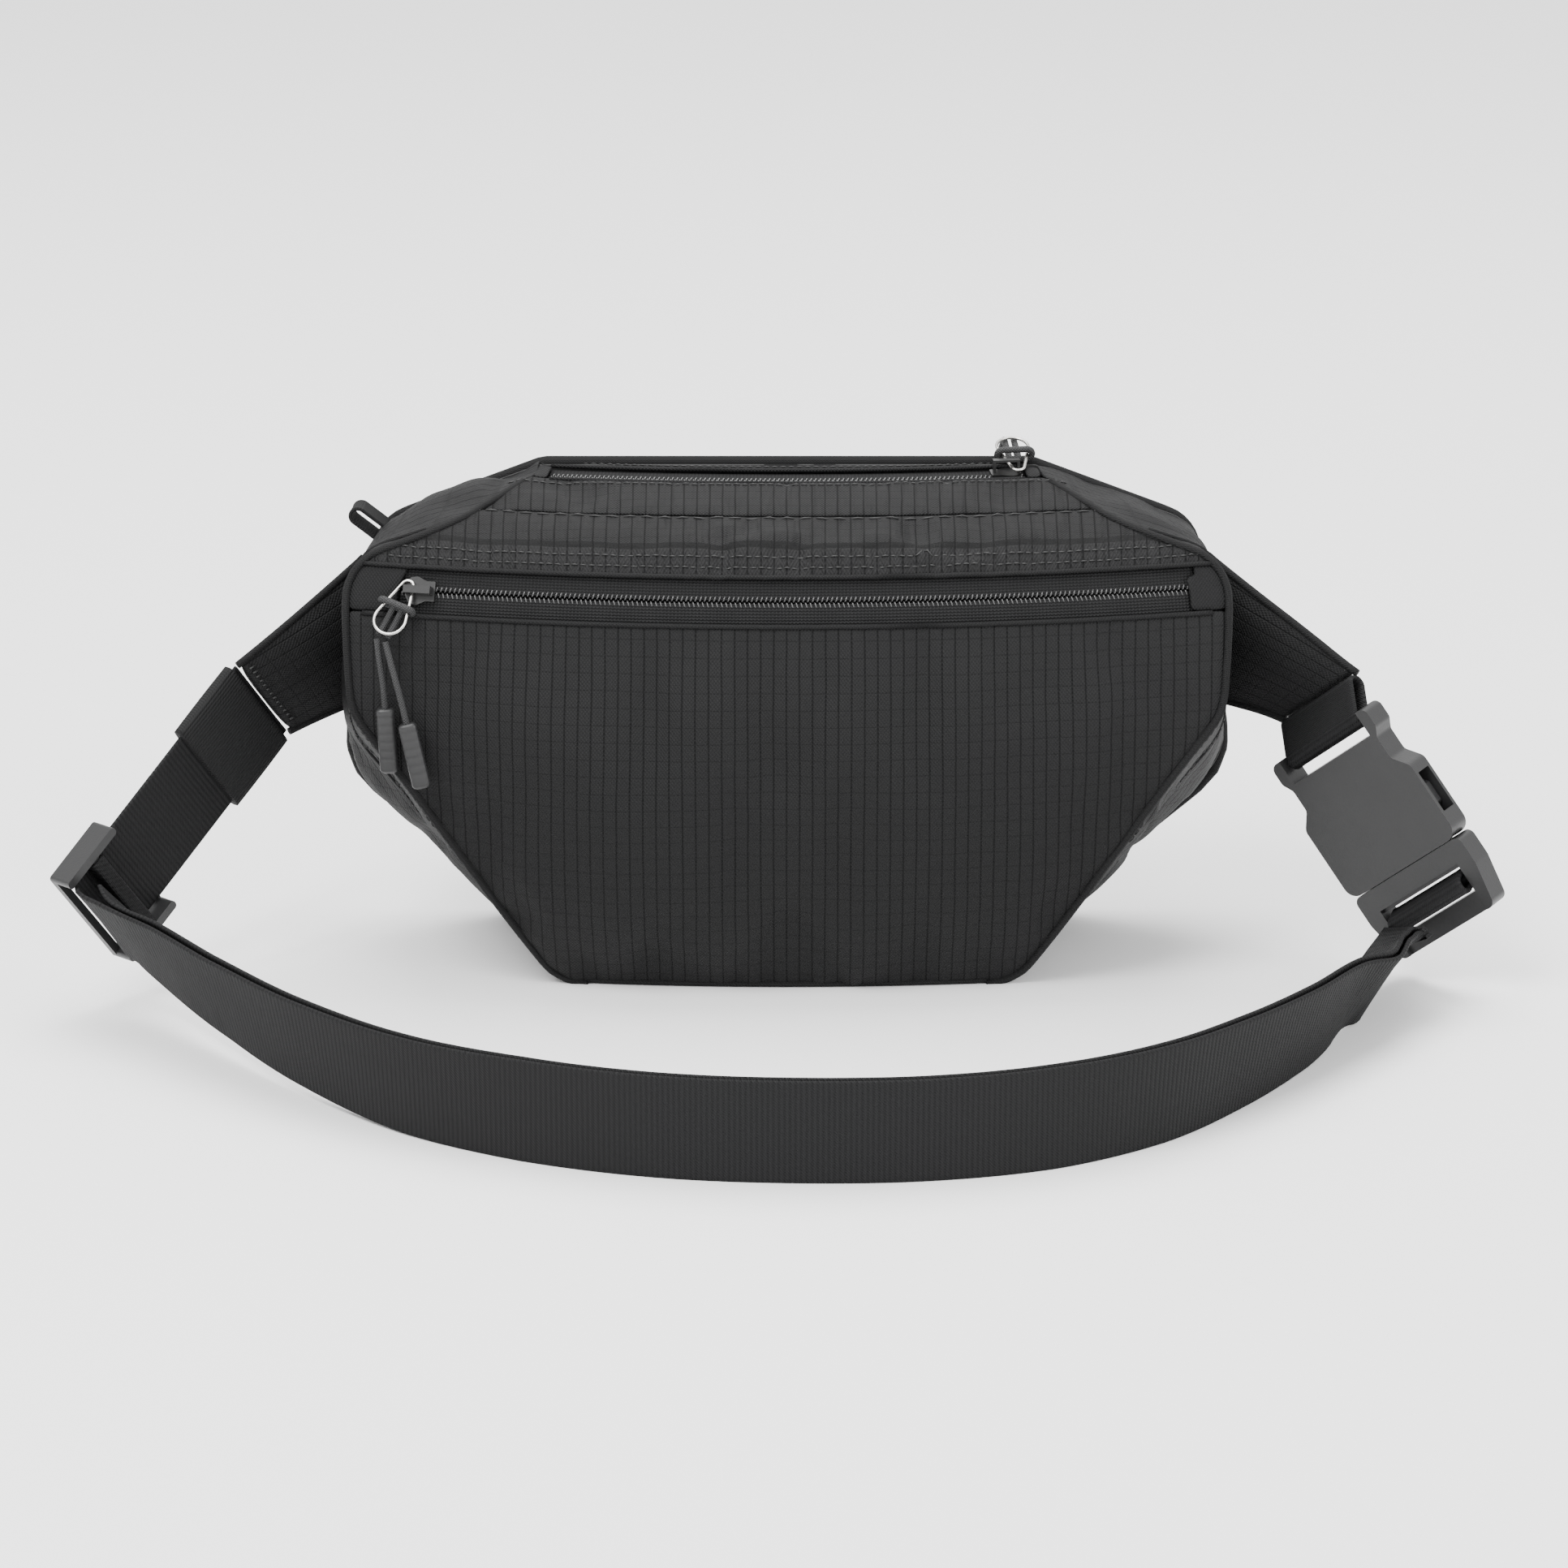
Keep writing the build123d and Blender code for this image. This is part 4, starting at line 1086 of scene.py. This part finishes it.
for i in range(17):
    run = -16 + 2 * i
    swell = 0.35 * math.sin(math.pi * i / 16)
    row = []
    uvRow = []
    ring = []
    for k in range(40):
        turn = 2 * math.pi * k / 40
        c, s = math.cos(turn), math.sin(turn)
        x = math.copysign(abs(c) ** 0.30, c) * (20.2 + 1.5)
        y = math.copysign(abs(s) ** 0.45, s) * (1.35 + 1.5 + swell)
        ring.append((x, y))
    for x, y in ring:
        row.append((cuffMiddle + strapWay * run + cuffUp * x + cuffOut * y) * mm)
        uvRow.append((run * mm, x * mm))
    loops.append(row)
    uvRows.append(uvRow)
cuff = sweepLoops("keeper_elastic", loops, "elastic", uvRows)
place(cuff, "keeper", "webbing", "keeper")
print("stage belt")

# cords on the zip pulls
pulls = {
    "front": {
        "left": [(-149.15, -42.61, 138.97), (-148.3, -44.2, 131.0), (-147.0, -44.8, 122.0),
                 (-146.6, -44.6, 112.8)],
        "right": [(-146.04, -43.97, 138.12), (-143.8, -47.0, 130.0), (-141.0, -48.6, 119.5),
                  (-138.6, -49.2, 108.5)]},
    "main": {
        "left": [(81.24, 47.71, 187.07), (80.2, 52.0, 182.4), (78.4, 52.6, 172.0), (77.9, 52.2, 161.5)],
        "right": [(84.71, 48.15, 187.07), (85.8, 52.4, 182.2), (87.6, 52.8, 171.5), (88.0, 52.3, 160.5)]},
}
for name, legs in pulls.items():
    for side, route in legs.items():
        points = [Vector(p) * mm for p in route]
        way = (points[-1] - points[-2]).normalized()
        points.append(points[-1] + way * 6 * mm)
        curve = bpy.data.curves.new(f"{name}_cord_{side}_line", "CURVE")
        curve.dimensions = "3D"
        curve.bevel_depth = 1.2 * mm
        curve.bevel_resolution = 4
        curve.use_fill_caps = True
        line = curve.splines.new("NURBS")
        line.points.add(len(points) - 1)
        for target, p in zip(line.points, points):
            target.co = (*p, 1)
        line.order_u = 3
        line.use_endpoint_u = True
        curve.materials.append(looks["cord"])
        strand = bpy.data.objects.new(f"{name}_cord_{side}_line", curve)
        bpy.context.scene.collection.objects.link(strand)
        place(strand, f"{name}_pull", "cord", f"{name}_cord_{side}")
        end = f"{name}_cord_end_{side}"
        across = Vector((0, 1, 0)).cross(way).normalized()
        flat = way.cross(across)
        loops = []
        uvRows = []
        start = points[-2]
        for i in range(40):
            run = 25.0 * i / 39
            inShape = 0.72 + 0.28 * math.sqrt(min(1.0, run / 1.3))
            outShape = 0.6 + 0.4 * math.sqrt(max(0.0, 25.0 - run) / 1.3)
            shape = min(1.0, inShape, outShape)
            groove = 0.90 if 3 < run < 22 and i % 5 == 0 else 1.0
            ring = []
            for k in range(24):
                turn = 2 * math.pi * k / 24
                c, s = math.cos(turn), math.sin(turn)
                ring.append(start + (way * run + across * (math.copysign(abs(c) ** 0.6, c) * 3.4 * shape)
                                     + flat * (math.copysign(abs(s) ** 0.6, s) * 2.3 * shape * groove)) * mm)
            loops.append(ring)
            uvRows.append([(k * mm, run * mm) for k in range(24)])
        grip = sweepLoops(f"{end}_grip", loops, "rubber", uvRows)
        place(grip, f"{name}_pull", "cord_end", end)
        reach = sum((q - p).length for p, q in zip(points, points[1:]))
print("stage cords")

# what is carried over from the CAD
carried = {
    "lining": ["back_lining", "divider_panel", "inner_pocket"], "webbing": ["belt_return_end"],
    "slider": ["front_slider", "main_slider"], "ring": ["front_ring", "main_ring"],
    "cord": ["front_cord_hitch", "main_cord_hitch"],
    "plastic": ["buckle_female", "buckle_male", "prong_left", "prong_right", "tri_glide"],
}
for look, names in carried.items():
    for name in names:
        obj = nodes[name]
        obj.data.materials.clear()
        obj.data.materials.append(looks[look])
        if not obj.data.uv_layers.get("cloth"):
            layer = obj.data.uv_layers.new(name="cloth")
            for loop in obj.data.loops:
                co = obj.data.vertices[loop.vertex_index].co
                layer.data[loop.index].uv = (co.x + co.y, co.z)
        if look in ("plastic", "slider"):
            bevel = obj.modifiers.new("rounded", "BEVEL")
            bevel.width = 0.9 * mm if look == "plastic" else 0.3 * mm
            bevel.segments = 3
            bevel.limit_method = "ANGLE"
            bevel.angle_limit = math.radians(40)
            bevel.use_clamp_overlap = True
for name in ("front_ring", "main_ring", "front_cord_hitch", "main_cord_hitch"):
    for polygon in nodes[name].data.polygons:
        polygon.use_smooth = True
print("stage carried over")

# stage
scene = bpy.context.scene
floorMaterial = Material("floor")
tone = floorMaterial.noise(floorMaterial.place(), 3.0)
pale = floorMaterial.blend(tone, (0.90, 0.90, 0.90), (0.92, 0.92, 0.92))
floorMaterial.finish(pale, 0.9 + tone * 0.02, tone, 0.01 * mm)
bpy.ops.mesh.primitive_plane_add(size=30, location=(0, 0, 0))
floor = bpy.context.active_object
floor.name = "floor"
floor.data.materials.append(floorMaterial.data)
lights = {
    "key": ((-0.9, -1.0, 1.9), 1.0, 56.0), "fill": ((1.6, -1.0, 1.1), 1.2, 24.0),
    "top": ((0.0, 0.5, 1.9), 1.4, 48.0), "front": ((0.2, -2.4, 0.9), 1.0, 8.0),
}
for name, (spot, size, power) in lights.items():
    data = bpy.data.lights.new(name, "AREA")
    data.size = size
    data.energy = power
    lamp = bpy.data.objects.new(name, data)
    lamp.location = spot
    lamp.rotation_euler = (Vector((0, -0.05, 0.06)) - Vector(spot)).to_track_quat("-Z", "Y").to_euler()
    scene.collection.objects.link(lamp)
world = bpy.data.worlds.new("studio")
world.use_nodes = True
world.node_tree.nodes["Background"].inputs["Color"].default_value = (1, 1, 1, 1)
world.node_tree.nodes["Background"].inputs["Strength"].default_value = 1.4
scene.world = world
cameraData = bpy.data.cameras.new("view")
cameraData.lens = 143.6
cameraData.sensor_width = 36
camera = bpy.data.objects.new("view", cameraData)
camera.location = (-0.0012, -2.1963, 0.8666)
camera.rotation_euler = (math.radians(70), 0, 0)
scene.collection.objects.link(camera)
scene.camera = camera
